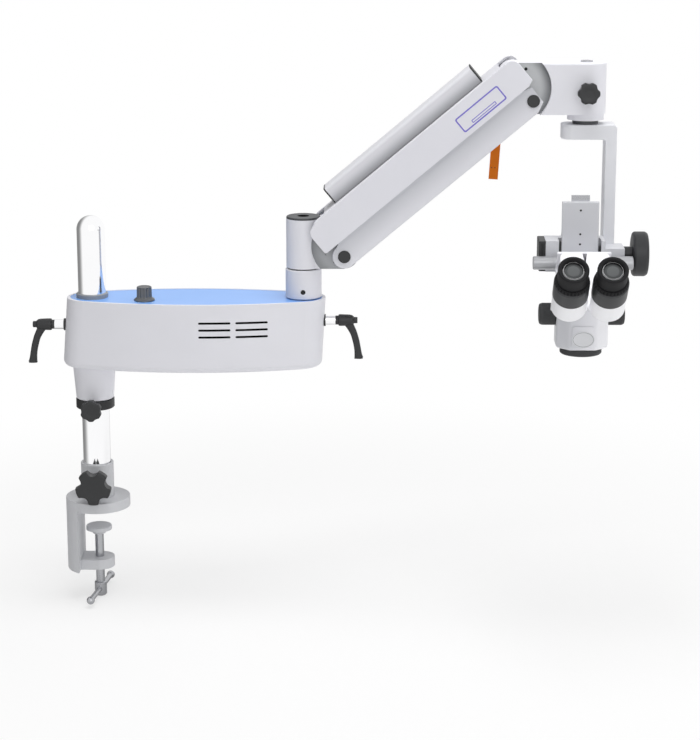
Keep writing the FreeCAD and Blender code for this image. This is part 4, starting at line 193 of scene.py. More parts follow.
finishes = {
    # ABS, injection moulded: an even cool white whose skin shows only a faint mould grain.
    "case_white": grained("moulded_abs", "#e9e9ef", "#e4e4ea", 0.34, 0.42, 1.4, 0.012,
                          IOR=1.53, Coat_Weight=0.1, Coat_Roughness=0.2),
    # Polyester powder coat on aluminium: a soft sheen with the slow ripple of baked powder.
    "arm_white": grained("powder_coat_white", "#e8e8ee", "#e2e2e9", 0.4, 0.48, 1.1, 0.03,
                         IOR=1.5),
    # Stoved enamel on the optical castings: a little whiter and glossier than the arm.
    "drive_white": grained("stoved_enamel", "#ebebf0", "#e6e6eb", 0.3, 0.38, 2.0, 0.015,
                           IOR=1.5, Coat_Weight=0.15, Coat_Roughness=0.15),
    # Smooth enamel on the clamp's castings: a flat pale grey.
    "clamp_grey": grained("enamel_pale_grey", "#d0d1d4", "#c9cace", 0.38, 0.48, 1.2, 0.03,
                          IOR=1.5),
    # The same enamel on the sleeve, a shade lighter.
    "sleeve_grey": grained("enamel_light_grey", "#cccdd0", "#c5c6c9", 0.35, 0.45, 1.2, 0.02,
                           IOR=1.5),
    # Steel, black oxidised: near black with a dull gloss.
    "ring_black": grained("oxide_black", "#161719", "#1b1c1e", 0.42, 0.5, 0.8, 0.02, IOR=1.5),
    # Phenolic, compression moulded: charcoal black with a soft moulded sheen.
    "knob_black": grained("moulded_phenolic", "#17181a", "#1c1d1f", 0.42, 0.54, 0.9, 0.03,
                          IOR=1.55),
    # Polyester film, printed on its back: an even sky blue under a satin face.
    "panel_blue": grained("printed_film", "#82b2f4", "#7cadf0", 0.32, 0.38, 1.6, 0.01,
                          IOR=1.5, Coat_Weight=0.2, Coat_Roughness=0.2),
    # ABS, moulded in grey: the ferrule round the post.
    "trim_grey": grained("moulded_grey", "#94979b", "#8c8f94", 0.4, 0.5, 1.2, 0.02, IOR=1.5),
    # Aluminium, sand cast: a dull metal with a coarse skin.
    "cast_alloy": grained("cast_aluminium", "#a8aaad", "#9c9ea1", 0.45, 0.6, 1.5, 0.06,
                          Metallic=1.0),
    # Brass, turned: warm and bright inside the bearings.
    "bush_brass": grained("turned_brass", "#c8a45a", "#bd9a52", 0.25, 0.35, 0.8, 0.01,
                          Metallic=1.0),
    # Polycarbonate, moulded dark grey: the case of the supply.
    "unit_grey": grained("moulded_dark_grey", "#505357", "#494c50", 0.5, 0.6, 1.2, 0.03, IOR=1.5),
    # Steel, turned and polished: studs and pins.
    "screw_steel": grained("bright_steel", "#b9babd", "#acadb1", 0.22, 0.32, 0.7, 0.01,
                           Metallic=1.0),
    # Steel, hard chromed and ground: a mirror with a faint haze.
    "post_chrome": grained("hard_chrome", "#fdfdfe", "#f9f9fa", 0.05, 0.09, 3.0, 0.002,
                           Metallic=1.0),
    # Steel strip, enamelled orange: a dense satin colour.
    "lock_orange": grained("enamel_orange", "#d4700e", "#cb680a", 0.5, 0.58, 1.1, 0.02,
                           IOR=1.5, Specular_IOR_Level=0.2),
    # Rubber, moulded: matt black with a fine dusty sheen.
    "eye_black": grained("moulded_rubber", "#18181a", "#1e1e20", 0.6, 0.7, 0.6, 0.03,
                         IOR=1.5, Specular_IOR_Level=0.22),
    # Aluminium, turned and anodised dark grey: upright highlights on the flutes.
    "dial_grey": grained("anodised_dark_grey", "#6c6e71", "#626467", 0.3, 0.38, 0.5, 0.01,
                         Metallic=0.7),
    # Nylon, moulded dark grey: the washer, cap and bearing ring of the swivels.
    "trim_dark": grained("moulded_nylon", "#414346", "#3a3c3f", 0.42, 0.52, 0.9, 0.02, IOR=1.53),
    # Steel bar, powder coated: the arm's white on a denser, smoother base.
    "crank_grey": grained("powder_coat_grey", "#eaebef", "#e4e5ea", 0.4, 0.48, 1.1, 0.03,
                          IOR=1.5),
    # Aluminium, brushed upright and anodised: fine upright lines, drawn at 0.5 mm so they show.
    "slide_silver": grained("brushed_anodised", "#d0d1d5", "#cacbd0", 0.34, 0.42, 0.5, 0.02,
                            stretch=(1, 1, 30), Metallic=0.25),
    # Steel, fine turned: a satin silver bar.
    "axle_satin": grained("satin_steel", "#b2b3b6", "#a9aaad", 0.3, 0.4, 0.5, 0.01,
                          stretch=(0.6, 12, 12), Metallic=0.6),
    # Nylon, moulded charcoal: the focus wheel and the changer's knobs.
    "wheel_charcoal": grained("moulded_charcoal", "#1f2022", "#252628", 0.44, 0.54, 0.9, 0.02,
                              IOR=1.53),
    # Aluminium, turned and anodised charcoal: the eyepiece barrels.
    "barrel_charcoal": grained("anodised_charcoal", "#303133", "#353638", 0.38, 0.46, 0.5, 0.01,
                               IOR=1.5, Specular_IOR_Level=0.4),
    # Steel, blackened: small screw heads that read as dark dots; the same black is painted shade
    # in the lock lever's dimples.
    "screw_dark": grained("blackened_screw", "#08090a", "#0d0e0f", 0.6, 0.7, 0.4, 0.01, IOR=1.5),
    # Aluminium plate, lacquered pale: the bare oval on the head.
    "plate_pale": grained("lacquered_plate", "#dfe0e3", "#d9dadd", 0.28, 0.34, 1.0, 0.005,
                          IOR=1.5),
    # Screen-printed inks, a thin even film each.
    "ink_violet": grained("printed_violet", "#7a72cf", "#746bc9", 0.4, 0.45, 0.6, 0.002,
                          IOR=1.5),
    "ink_white": grained("printed_white", "#f4f5f8", "#eeeff2", 0.4, 0.45, 0.6, 0.002, IOR=1.5),
    # Optical glass, coated: dark under the cup's rim, with the surroundings on its face.
    "lens_glass": surface("coated_glass", Base_Color=colour("#4d4f50"), Roughness=0.12,
                          IOR=1.6, Specular_IOR_Level=0.12)[0],
    # The lit field that an eyepiece shows in its middle.
    "lens_field": surface("lens_field", Base_Color=colour("#5e6061"), Roughness=0.2,
                          IOR=1.6, Specular_IOR_Level=0.12)[0],
    # Aluminium, turned and matt anodised: the pale ring round each eye lens.
    "ring_silver": grained("matt_anodised", "#f0f1f2", "#e8e9ea", 0.5, 0.6, 0.5, 0.01, IOR=1.5,
                           Specular_IOR_Level=0.3),
    # Open-cell filter foam behind the vents, black at any angle; the same black is painted shade
    # in the hub cap's hole.
    "filter_and_hole_shade_black": grained("filter_foam_and_hole_shade", "#050506", "#0a0a0b", 0.85, 0.95, 0.8, 0.1, IOR=1.4,
                            Specular_IOR_Level=0.1),
    # The spring cover's powder coat, with painted shade that greys it towards its foot on the
    # upper cover.
    "spring_cover": painted_light_and_shade_ramp("powder_coat_painted_foot_shade", "#dfdfe4", "#9c9da1", PIVOT, ARM_NORMAL,
                            UPPER_TOP, UPPER_TOP + 20, 0.44, IOR=1.5),
    # A strip under the spring cover, a plain mid grey line of painted shadow along the seam.
    "seam_shadow_grey": grained("painted_seam_shadow", "#77787b", "#707174", 0.8, 0.9, 0.8, 0.05, IOR=1.4),
    # The focus drive's casting in powder coat, greyer than the optical castings as painted shade.
    "focus_housing": grained("powder_coat_drive_painted_shade", "#d6d7db", "#d0d1d6", 0.4, 0.48, 1.1, 0.03,
                             IOR=1.5),
    # The lower cover's powder coat, with painted shade that dulls it towards the upper cover's
    # lip.
    "lower_shell": painted_light_and_shade_ramp("powder_coat_painted_lip_shade", "#cbccd2", "#e2e2e8", PIVOT, ARM_NORMAL,
                           -16, 18, 0.5, IOR=1.5),
    # Stoved enamel on the microscope body, with painted light and shade: whiter towards the side
    # of the focus wheel, greyer on the far side.
    "head_body": painted_light_and_shade_ramp("stoved_enamel_painted_side_light", "#f1f1f5", "#d0d1d6", (HEAD[0], HEAD[1], 300),
                         (1, 0, 0), -30, 30, 0.34, IOR=1.5, Coat_Weight=0.15,
                         Coat_Roughness=0.15),
    # Stoved enamel on the prism boxes and their tubes, lighter than the other castings as painted
    # light.
    "prism_box": grained("stoved_enamel_painted_light", "#f7f7fa", "#f3f3f6", 0.3, 0.38, 2.0, 0.015,
                         IOR=1.5, Coat_Weight=0.15, Coat_Roughness=0.15),
    # Screen-printed grey: the thin line inside the head's oval plate.
    "ink_grey": grained("printed_grey", "#8d8f93", "#86888c", 0.45, 0.5, 0.6, 0.002, IOR=1.5),
    # Aluminium castings, powder coated white, with grey flanks milled in for the links: partly
    # bare metal, partly painted shade that darkens towards the recess wall.
    "arm_root": recessed_painted_shade("milled_root_casting_painted_shade", "#e8e8ee", "#b2b4b7", "#8f9194",
                         (364.8, 394.0), 46.5, 18, 0.42, IOR=1.5),
    "head_block": recessed_painted_shade("milled_block_casting_painted_shade", "#e8e8ee", "#c6c8ca", "#808285",
                           (604.65, 620.9), 51.6, 18, 0.42, IOR=1.5),
}


# Mesh helpers

def bend(before, corner, after, radius, share, steps):
    """A corner rounded by up to a radius, within a share of the sides that meet there."""
    reach = min(radius, (before - corner).length * share, (after - corner).length * share)
    start = corner + (before - corner).normalized() * reach
    end = corner + (after - corner).normalized() * reach
    return [start * (1 - t) ** 2 + corner * (2 * t * (1 - t)) + end * t ** 2
            for t in (n / steps for n in range(steps + 1))]


def rounded(points, radius):
    """An open profile with its inner corners rounded off."""
    line = [Vector(p) for p in points]
    out = [line[0]]
    for before, corner, after in zip(line, line[1:], line[2:]):
        out += bend(before, corner, after, radius, share=0.45, steps=5)
    return out + [line[-1]]


def rounded_loop(points, radius):
    """A closed outline with every corner rounded off."""
    line = [Vector(p) for p in points]
    out = []
    for before, corner, after in zip(line[-1:] + line, line, line[1:] + line[:1]):
        out += bend(before, corner, after, radius, share=0.48, steps=6)
    return out


def dense_profile(profile, step):
    """The same outline with a point at least every step."""
    out = []
    for first, second in zip(profile, profile[1:]):
        count = max(1, int((second - first).length / step))
        out += [first + (second - first) * (k / count) for k in range(count)]
    return out + [profile[-1]]


def moved(place):
    """The row's frame, moved to a place given in millimetres."""
    return Matrix.Translation(Vector(place) * mm)


def aimed(place, axis):
    """The frame whose Z runs along an axis from a place."""
    return moved(place) @ Vector(axis).to_track_quat("Z", "Y").to_matrix().to_4x4()


def tilted(place, angle, axis):
    """The row's frame at a place, turned by degrees about one row axis."""
    return moved(place) @ Matrix.Rotation(math.radians(angle), 4, axis)


def stacked(name, rings, where, caps=True, closed=False, sharp=crisp):
    """A mesh through a stack of rings of equal count, given in millimetres."""
    count = len(rings[0])
    points = [where @ (Vector(p) * mm) for ring in rings for p in ring]
    faces = []
    levels = len(rings)
    for level in range(levels if closed else levels - 1):
        low, high = level * count, (level + 1) % levels * count
        for n in range(count):
            after = (n + 1) % count
            faces.append((low + n, low + after, high + after, high + n))
    if caps and not closed:
        faces.append(tuple(reversed(range(count))))
        faces.append(tuple(range((levels - 1) * count, levels * count)))
    mesh = bpy.data.meshes.new(name)
    mesh.from_pydata(points, [], faces)
    weld, speck = 0.002, 0.001
    shape = bmesh.new()
    shape.from_mesh(mesh)
    bmesh.ops.remove_doubles(shape, verts=shape.verts, dist=weld * mm)
    bmesh.ops.dissolve_degenerate(shape, edges=shape.edges, dist=speck * mm)
    bmesh.ops.recalc_face_normals(shape, faces=shape.faces)
    shape.to_mesh(mesh)
    shape.free()
    for face in mesh.polygons:
        face.use_smooth = True
    mesh.set_sharp_from_angle(angle=math.radians(sharp))
    return mesh


def turned(name, profile, where, segments=96, shape=None, **extra):
    """A mesh spun about its frame's Z; the profile lists (radius, height)."""
    rings = []
    for radius, height in profile:
        ring = []
        for n in range(segments):
            angle = 2 * math.pi * n / segments
            r = shape(radius, height, angle) if shape else radius
            ring.append((r * math.cos(angle), r * math.sin(angle), height))
        rings.append(ring)
    return stacked(name, rings, where, **extra)


def put(name, mesh, finish, body, *nodes):
    """Shows a mesh in its finish, on its CAD body, in place of the CAD nodes it stands for."""
    thing = bpy.data.objects.new(name, mesh)
    bpy.context.collection.objects.link(thing)
    mesh.materials.append(finishes[finish])
    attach(thing, body)
    if nodes:
        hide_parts(*nodes)
    return thing


def cad_faces(node):
    """A CAD node's corners in metres and its faces."""
    mesh = frame["nodes"][node].data
    corners = [corner.co.copy() for corner in mesh.vertices]
    return corners, [list(face.vertices) for face in mesh.polygons]


def join(name, *meshes):
    """One mesh from several."""
    shape = bmesh.new()
    for mesh in meshes:
        shape.from_mesh(mesh)
    whole = bpy.data.meshes.new(name)
    shape.to_mesh(whole)
    shape.free()
    whole.set_sharp_from_angle(angle=math.radians(crisp))
    return whole


# The CAD nodes in their finishes

def soften(thing, width):
    """Edges rounded over a small width in millimetres, for a machined or moulded piece."""
    bevel = thing.modifiers.new("edge_round", "BEVEL")
    bevel.width = width * mm
    bevel.segments = 2
    bevel.limit_method = "ANGLE"
    bevel.angle_limit = math.radians(40)
    bevel.harden_normals = True


slots = {entry["node"]: entry["material_slot"] for entry in frame["record"]["subparts"]}
for box in ("left_prism_box", "right_prism_box"):
    finishes[box] = finishes["prism_box"]
edge_round = 0.5
sharp_edged = ("clamp_frame", "post_sleeve", "column_ring", "arm_root", "head_block",
               "crank_bracket", "focus_housing", "slide_plate", "slide_rack", "binocular_base",
               "arm_lock_lever")
for node, thing in frame["nodes"].items():
    thing.data.materials.clear()
    thing.data.materials.append(finishes[node if node in finishes else slots[node]])
    if node in sharp_edged:
        soften(thing, edge_round)


# Frames of the arm and of the eyepiece tubes

def arm_frame():
    """Frame that lies along the arm from its lower pivot: x runs along it and z square to it."""
    return tilted(PIVOT, -ARM, "Y")


def ocular_frame(side, along=0):
    """Frame whose Z runs up one eyepiece tube to the eye and whose Y rises square to it."""
    step = along / math.sqrt(2)
    x = HEAD[0] + EYE_OFFSET * side
    return tilted((x, EYE[0] - step, EYE[1] + step), 45, "X")


# Table clamp and post

def post():
    """Hard-chromed post with a domed top."""
    radius, foot, shoulder, chamfer = 20, 3.02, 415, 1
    dome = [(radius * math.cos(a), shoulder + radius * math.sin(a))
            for a in (math.radians(d) for d in range(0, 90, 6))]
    profile = [(0, foot), (radius - chamfer, foot), (radius, foot + chamfer)] + dome
    mesh = turned("post", profile + [(0, shoulder + radius)], Matrix.Identity(4), segments=128)
    put("post_skin", mesh, "post_chrome", "post", "post")


def star_shape(lobes, valley, notch, first):
    """A radius rule that cuts round notches between the lobes of a knob.

    Valley is the radius at the bottom of a notch, notch the radius of its own round, and first
    the first one's angle from the top. The notches fade out on the face, towards its middle."""
    middle = valley + notch
    step = 2 * math.pi / lobes
    soft, lift = 1.0, 0.3
    face = 0.72

    def rule(radius, height, angle):
        off = (angle - math.pi / 2 - math.radians(first) + step / 2) % step - step / 2
        swing = middle * math.sin(abs(off))
        depth = radius
        if swing < notch:
            cut = middle * math.cos(off) - math.sqrt(notch ** 2 - swing ** 2)
            gap = radius - cut
            if gap > -3:
                depth = min(cut + (gap - math.sqrt(gap * gap + soft)) * 0.5 + lift, radius)
        share = min(max((radius / valley - face) / (1 - face), 0), 1)
        share = share * share * (3 - 2 * share)
        return radius + (depth - radius) * share
    return rule


def star_knob(name, place, lobes, first, radius, thick, neck, neck_length, valley, notch):
    """Moulded clamping knob: broad lobes, a soft rim, a dished face and a plain neck.

    First is the first notch's angle from the top; valley and notch are shares of the radius."""
    outline = [(0, -neck_length), (neck - 0.6, -neck_length), (neck, -neck_length + 0.6),
               (neck, -0.4), (neck + 0.6, 0)]
    rim = rounded([(neck + 0.6, 0), (radius, 0), (radius, thick), (radius * 0.5, thick)],
                  thick * 0.24)
    face = [(radius * 0.5, thick), (radius * 0.46, thick - 0.2), (radius * 0.3, thick - 0.3),
            (0, thick - 0.3)]
    rule = star_shape(lobes, radius * valley, radius * notch, first)
    mesh = turned(name, outline + rim + face, aimed(place, (0, -1, 0)), segments=lobes * 36,
                  shape=rule, sharp=48)
    put(name + "_skin", mesh, "knob_black", name, name)


def knobs():
    """The post's large five-lobed knob, and the small six-lobed ones of the ring and the head."""
    star_knob("post_lock_knob", (0, -42.3, 42), 5, 0, 26, 17, 9, 6, 0.71, 0.33)
    star_knob("ring_knob", (0, -46.3, 158), 6, 30, 15.6, 12, 6, 17.9, 0.86, 0.5)
    star_knob("head_lock_knob", (SWIVEL, -38.3, 616), 6, 0, 15.6, 12, 7, 9.9, 0.86, 0.5)


# Levers and dial

def flow(points, steps=6):
    """Points of a smooth run through given values."""
    line = [Vector(p) for p in points]
    out = []
    for n in range(len(line) - 1):
        p0, p1 = line[max(n - 1, 0)], line[n]
        p2, p3 = line[n + 1], line[min(n + 2, len(line) - 1)]
        for k in range(steps):
            t = k / steps
            out.append(0.5 * (2 * p1 + (p2 - p0) * t + (2 * p0 - 5 * p1 + 4 * p2 - p3) * t ** 2
                              + (3 * p1 - p0 - 3 * p2 + p3) * t ** 3))
    return out + [line[-1]]


def oval(half_width, half_depth, power, count=28):
    """A rounded section between an ellipse and a rectangle."""
    out = []
    for n in range(count):
        c, s = math.cos(2 * math.pi * n / count), math.sin(2 * math.pi * n / count)
        out.append((half_width * math.copysign(abs(c) ** (2 / power), c),
                    half_depth * math.copysign(abs(s) ** (2 / power), s)))
    return out


def lever(name, hub_x, height, side):
    """Clamping lever: stepped hub with an end button, and a curved grip that flares at its tip."""
    where = tilted((hub_x, 0, height), 180 if side < 0 else 0, "Z")
    along = where @ Matrix.Rotation(math.radians(90), 4, "Y")
    fullness = 3.2
    hub = rounded([(0, 0), (6.4, 0), (6.6, 0.4), (6.6, 4.2), (8.4, 5), (8.6, 8), (8.1, 20.5),
                   (7.3, 24.4), (5.4, 26.6), (4.6, 27.2), (4.6, 31.2), (4.2, 32), (0, 32)], 0.6)
    run = flow([(17, -1, 7.0, 5.5), (21.5, -9, 5.7, 5.3), (26.4, -19, 5.0, 5.1),
                (29.9, -31, 4.9, 5.0), (32.0, -42, 4.9, 5.0), (33.1, -51, 5.5, 5.3),
                (33.8, -56, 6.5, 5.5)])
    rings = []
    for n, (x, z, wide, deep) in enumerate(run):
        before, after = run[max(n - 1, 0)], run[min(n + 1, len(run) - 1)]
        tangent = Vector((after[0] - before[0], after[1] - before[1])).normalized()
        across = Vector((-tangent.y, tangent.x))
        rings.append([(x + across.x * a, b, z + across.y * a)
                      for a, b in oval(wide, deep, fullness)])
    end = run[-1]
    for shrink, drop in ((0.94, 0.7), (0.8, 1.0)):
        rings.append([(end[0] + 0.05 + a * shrink, b * shrink, end[1] - drop)
                      for a, b in oval(-end[2], end[3], fullness)])
    mesh = join(name, turned("hub", hub, along, segments=64), stacked("grip", rings, where))
    put(name + "_skin", mesh, "knob_black", name, name)


def levers():
    """Both clamping levers."""
    lever("left_lever", -55.7, 274.4, -1)
    lever("right_lever", 352.4, 281.7, 1)


def fluted(count, depth, low, high):
    """A radius rule that presses rounded grooves into a grip between two heights."""
    run_out = 0.8

    def rule(radius, height, angle):
        if not low <= height <= high:
            return radius
        fade = min(1, (height - low) / run_out, (high - height) / run_out)
        wave = (0.5 + 0.5 * math.cos(count * angle)) ** 2
        return radius - depth * wave * max(fade, 0)
    return rule


def dial():
    """Brightness dial: anodised grip with deep flutes over a wide skirt."""
    profile = rounded([(0, 0), (14.7, 0), (15, 0.5), (14.8, 1.8), (12.4, 3.4), (11.3, 4.6),
                       (11, 6), (10.7, 19.2), (9.9, 20), (8.2, 20), (7.8, 19.5), (0, 19.5)], 0.4)
    where = moved(DIAL)
    mesh = turned("dial", dense_profile(profile, 1.2), where, segments=192,
                  shape=fluted(12, 1.2, 4.4, 19.4), sharp=45)
    shaft = turned("shaft", [(0, -15), (3, -15), (3, 0), (0, 0)], where, segments=32)
    put("brightness_dial", join("brightness_dial", mesh, shaft), "dial_grey", "brightness_knob",
        "brightness_knob")


# Focus drive

def drive_wheel():
    """Focusing wheel: smooth moulded rim with soft shoulders on a plain neck."""
    profile = rounded([(0, 0), (10.2, 0), (10.5, 0.4), (10.5, 11.7), (26, 11.7), (30.2, 12.6),
                       (31.8, 15.0), (31.8, 29.9), (29.2, 33.7), (12.6, 33.7), (12, 32.8),
                       (0, 32.8)], 1.6)
    mesh = turned("wheel", profile, aimed((762.3, -38, 388), (1, 0, 0)), segments=128, sharp=28)
    put("focus_wheel", mesh, "wheel_charcoal", "focus_knob", "focus_knob")


def axle():
    """Tilt axle: satin steel bar with a fine seam where its sleeve ends."""
    profile = [(0, 0), (8.4, 0), (9.6, 1.2), (9.6, 27.6), (9.2, 27.8), (9.2, 28.2), (9.6, 28.4),
               (9.6, 139.8), (8.4, 141), (0, 141)]
    mesh = turned("axle", profile, aimed((632, -68.5, 380.6), (1, 0, 0)), segments=96)
    put("tilt_axle_skin", mesh, "axle_satin", "focus_slide", "tilt_axle")


def screw_head(name, place, axis, radius, body, finish="screw_dark"):
    """A dark screw head with a hexagon socket, a hair proud of its face."""
    step, flat_reach = math.pi / 3, radius * 0.48

    def hexagon(r, height, angle):
        if radius * 0.25 < r < radius * 0.6:
            return flat_reach / math.cos(angle % step - step / 2)
        return r
    profile = [(radius, -0.2), (radius, 0.16), (radius * 0.92, 0.26), (radius * 0.6, 0.26),
               (radius * 0.5, 0.08), (0, 0.06)]
    mesh = turned(name, profile, aimed(place, axis), segments=36, shape=hexagon, caps=False)
    put(name, mesh, finish, body)


# Microscope head

def barrel_profile():
    """Outline of the eyepiece barrel, from the white tube to the groove under its collar."""
    return rounded([(15.4, 36.6), (15.4, 0.05), (23.8, 0.05), (24.4, 0.7), (24.4, 27.4),
                    (24.0, 27.8), (24.0, 28.4), (24.4, 28.8), (24.4, 29.4), (23.0, 30.2),
                    (21.4, 30.3), (21.4, 36.6)], 0.35)


def collar_profile():
    """Outline of the ribbed collar on top of the barrel."""
    return rounded([(21.0, 30.2), (23.3, 30.2), (23.6, 30.7), (23.2, 35.8), (22.2, 36.8),
                    (15.6, 36.8), (15.6, 36.0)], 0.35)


def eyepieces():
    """Charcoal barrels with ribbed collars, soft eyecups with a bright lens ring, and lenses."""
    barrel_foot, cup_foot = -51.5, -14.2
    lens_radius, lens_rim, lens_bulge = 12.8, 17.3, 1.1
    field_radius, field_rim, field_bulge = 8.4, 17.75, 0.72
    for side, name in ((-1, "left"), (1, "right")):
        foot = ocular_frame(side, barrel_foot)
        barrel = turned("barrel", barrel_profile(), foot, segments=144, sharp=40, caps=False)
        put(name + "_barrel", barrel, "barrel_charcoal", name + "_ocular", name + "_eyepiece")
        collar = turned("collar", dense_profile(collar_profile(), 1.0), foot, segments=288,
                        shape=fluted(30, 1.9, 30.5, 36.6), sharp=40, caps=False)
        put(name + "_collar", collar, "eye_black", name + "_ocular")
        start = ocular_frame(side, cup_foot)
        cup = rounded([(14.3, 17.6), (14.3, 0), (20.4, 0), (20.9, 0.6), (20.7, 8), (21, 16),
                       (21, 21.5), (20.2, 22.95), (17.2, 22.95), (16.4, 22.1), (15.8, 20.2),
                       (15.2, 18.6)], 0.6)
        mesh = turned("cup", cup, start, segments=96, caps=False)
        put(name + "_eyecup", mesh, "eye_black", name + "_dioptre", name + "_dioptre_ring")
        cell = turned("lens_cell", [(12.6, 17.4), (12.7, 19.6), (12.9, 19.9), (13.1, 20.0)],
                      start, segments=96, caps=False)
        put(name + "_lens_cell", cell, "eye_black", name + "_dioptre")
        ring = turned("lens_ring", [(13.1, 20.0), (13.3, 19.9), (13.6, 19.3), (14.4, 17.5)],
                      start, segments=96, caps=False)
        put(name + "_lens_ring", ring, "ring_silver", name + "_dioptre")
        lens = [(lens_radius * n / 12, lens_rim + lens_bulge * (1 - (n / 12) ** 2))
                for n in range(12, -1, -1)]
        glass = turned("eye_glass", [(lens_radius, 8)] + lens, start, segments=96, sharp=60)
        put(name + "_eye_glass", glass, "lens_glass", name + "_dioptre", name + "_eye_lens")
        field = [(field_radius * n / 8, field_rim + field_bulge * (1 - (n / 12) ** 2))
                 for n in range(8, -1, -1)]
        spot = turned("eye_field", [(field_radius, 17.2)] + field, start, segments=64, sharp=60)
        put(name + "_eye_field", spot, "lens_field", name + "_dioptre")


def objective():
    """Anodised objective ring with a fine grip band, and its coated front lens."""
    where = moved((HEAD[0], HEAD[1], 257.8))
    clear, crown, dish = 23.9, 2.6, 1.5
    profile = rounded([(clear, 9.1), (clear, 3.2), (26, 0), (28, 0), (29.5, 1.5), (29.5, 8.7),
                       (28.5, 10.15), (24, 10.15)], 0.4)
    mesh = turned("ring", dense_profile(profile, 1.2), where, segments=360,
                  shape=fluted(120, 0.3, 2.6, 7.8), caps=False, sharp=40)
    put("objective_ring_skin", mesh, "barrel_charcoal", "scope_head", "objective_mount")
    lens = [(clear, 9.0), (clear, 4.2)] + [(clear * n / 14, crown + dish * (n / 14) ** 2)
                                           for n in range(13, -1, -1)]
    glass = turned("front_glass", lens, where, segments=96, sharp=60)
    put("objective_glass", glass, "lens_glass", "scope_head", "objective_lens")


def changer():
    """Magnification changer: a rounded, finely serrated knob on each side of the drum."""
    height, knob_foot, drum_end = 313.6, 36.8, 35.5
    meshes = []
    for side in (-1, 1):
        where = aimed((HEAD[0] + knob_foot * side, HEAD[1], height), (side, 0, 0))
        profile = rounded([(0, -0.6), (8, -0.6), (8, 0), (14.7, 0), (15.5, 0.9), (15.5, 19.4),
                           (13.8, 22.6), (11.2, 23.2), (10, 23.2), (9.4, 22.6), (0, 22.6)], 1.6)
        meshes.append(turned("knob", dense_profile(profile, 1.4), where, segments=288,
                             shape=fluted(72, 0.35, 1.2, 18.8), sharp=40))
    where = aimed((HEAD[0] - drum_end, HEAD[1], height), (1, 0, 0))
    meshes.append(turned("drum", [(0, 0), (16, 0), (16, 2 * drum_end), (0, 2 * drum_end)], where,
                         segments=64))
    put("magnification_knobs", join("magnification_knobs", *meshes), "wheel_charcoal",
        "magnification_changer", "magnification_changer")


def nameplate():
    """Bare oval plate on the head's front pad, with a fine rim and a thin grey line in it."""
    where = aimed((HEAD[0], HEAD[1] - 36.0, 284.7), (0, -1, 0))
    wide, high = 15.6, 11.6

    def ring(grow, height):
        return [((wide + grow) * math.cos(a), (high + grow) * math.sin(a), height)
                for a in (2 * math.pi * n / 96 for n in range(96))]
    plate = [ring(*step) for step in ((0, 0.02), (0, 0.45), (-0.25, 0.6), (-0.7, 0.6),
                                      (-0.85, 0.45))]
    put("bare_nameplate", stacked("nameplate", plate, where), "plate_pale", "scope_head")
    line = [ring(*step) for step in ((-1.2, 0.42), (-1.2, 0.5), (-1.7, 0.5), (-1.7, 0.42))]
    put("nameplate_line", stacked("nameplate_line", line, where, closed=True), "ink_grey",
        "scope_head")


# Arm details

def arm_label():
    """Bare rating panel on the upper cover: a violet outline with one plain bar."""
    where = arm_frame() @ tilted((0, -36.02, 0), 90, "X")
    ink = 0.08
    meshes = []
    for low_x, low_z, high_x, high_z, line, outer_round, inner_round in (
            (244.4, 27.2, 320.7, 51.0, 2.0, 3.4, 2.0), (262, 30.8, 305, 35.4, 1.1, 1.2, 0.5)):
        outer = rounded_loop([(low_x, low_z), (high_x, low_z), (high_x, high_z),
                              (low_x, high_z)], outer_round)
        inner = rounded_loop([(low_x + line, low_z + line), (high_x - line, low_z + line),
                              (high_x - line, high_z - line), (low_x + line, high_z - line)],
                             inner_round)
        rings = [[tuple(p) + (h,) for p in loop]
                 for loop, h in ((outer, 0), (outer, ink), (inner, ink), (inner, 0))]
        meshes.append(stacked("frame", rings, where, closed=True))
    put("label_outline", join("label_outline", *meshes), "ink_violet", "upper_link")


def panel_marks():
    """Plain white scale marks round the dial, the first and last a little longer."""
    where = moved((DIAL[0], DIAL[1], 315.53))
    count, sweep, first = 9, 270, -315
    near, far, longer, half_width = 16.6, 18.4, 1.2, 0.6
    ink = 0.12
    meshes = []
    for n in range(count):
        turn = math.radians(first + sweep / (count - 1) * n)
        end = far + (longer if n in (0, count - 1) else 0)
        out = Vector((math.cos(turn), math.sin(turn)))
        side = Vector((-out.y, out.x)) * half_width
        corners = [out * near + side, out * end + side, out * end - side, out * near - side]
        rings = [[tuple(corner) + (h,) for corner in corners] for h in (0, ink)]
        meshes.append(stacked("mark", rings, where))
    put("dial_marks", join("dial_marks", *meshes), "ink_white", "housing")


def small_screws():
    """Grub screws and countersunk heads where the photograph shows them, and two black dots of
    painted shade in the lock lever's dimples.
    """
    for n, z in enumerate((453, 419, 404.6)):
        screw_head("plate_screw_" + str(n), (699, -54, z), (0, -1, 0), 1.5, "focus_slide")
    screw_head("ring_grub_screw", (306.4, -26, 328), (0, -1, 0), 3.5, "column")
    screw_head("root_screw", (351.5, -18, 371.1), (0, -1, 0), 1.7, "column")
    screw_head("tongue_screw", (620.3, -18, 647.4), (0, -1, 0), 2.3, "head_block")
    screw_head("cap_screw", (SWIVEL, 0, 657.6), (0, 0, 1), 5.2, "crank", "screw_steel")
    # Two black dots painted as the shade in the lock lever's dimples.
    for n, side in enumerate((-1, 1)):
        screw_head("lock_dimple_shade_" + str(n), (577.6 + 2.4 * side, -1.5, 505.4), (0, -1, 0), 0.75,
                   "arm_lock_lever")


def front_web():
    """The upper cover's top, carried on towards the arm's front knuckle."""
    low, half_width = 63.3, 28.1
    rings = [[(x, -half_width, low), (x, half_width, low), (x, half_width, UPPER_TOP),
              (x, -half_width, UPPER_TOP)] for x in (317.9, 338.0)]
    put("front_web", stacked("front_web", rings, arm_frame()), "arm_white", "upper_link")


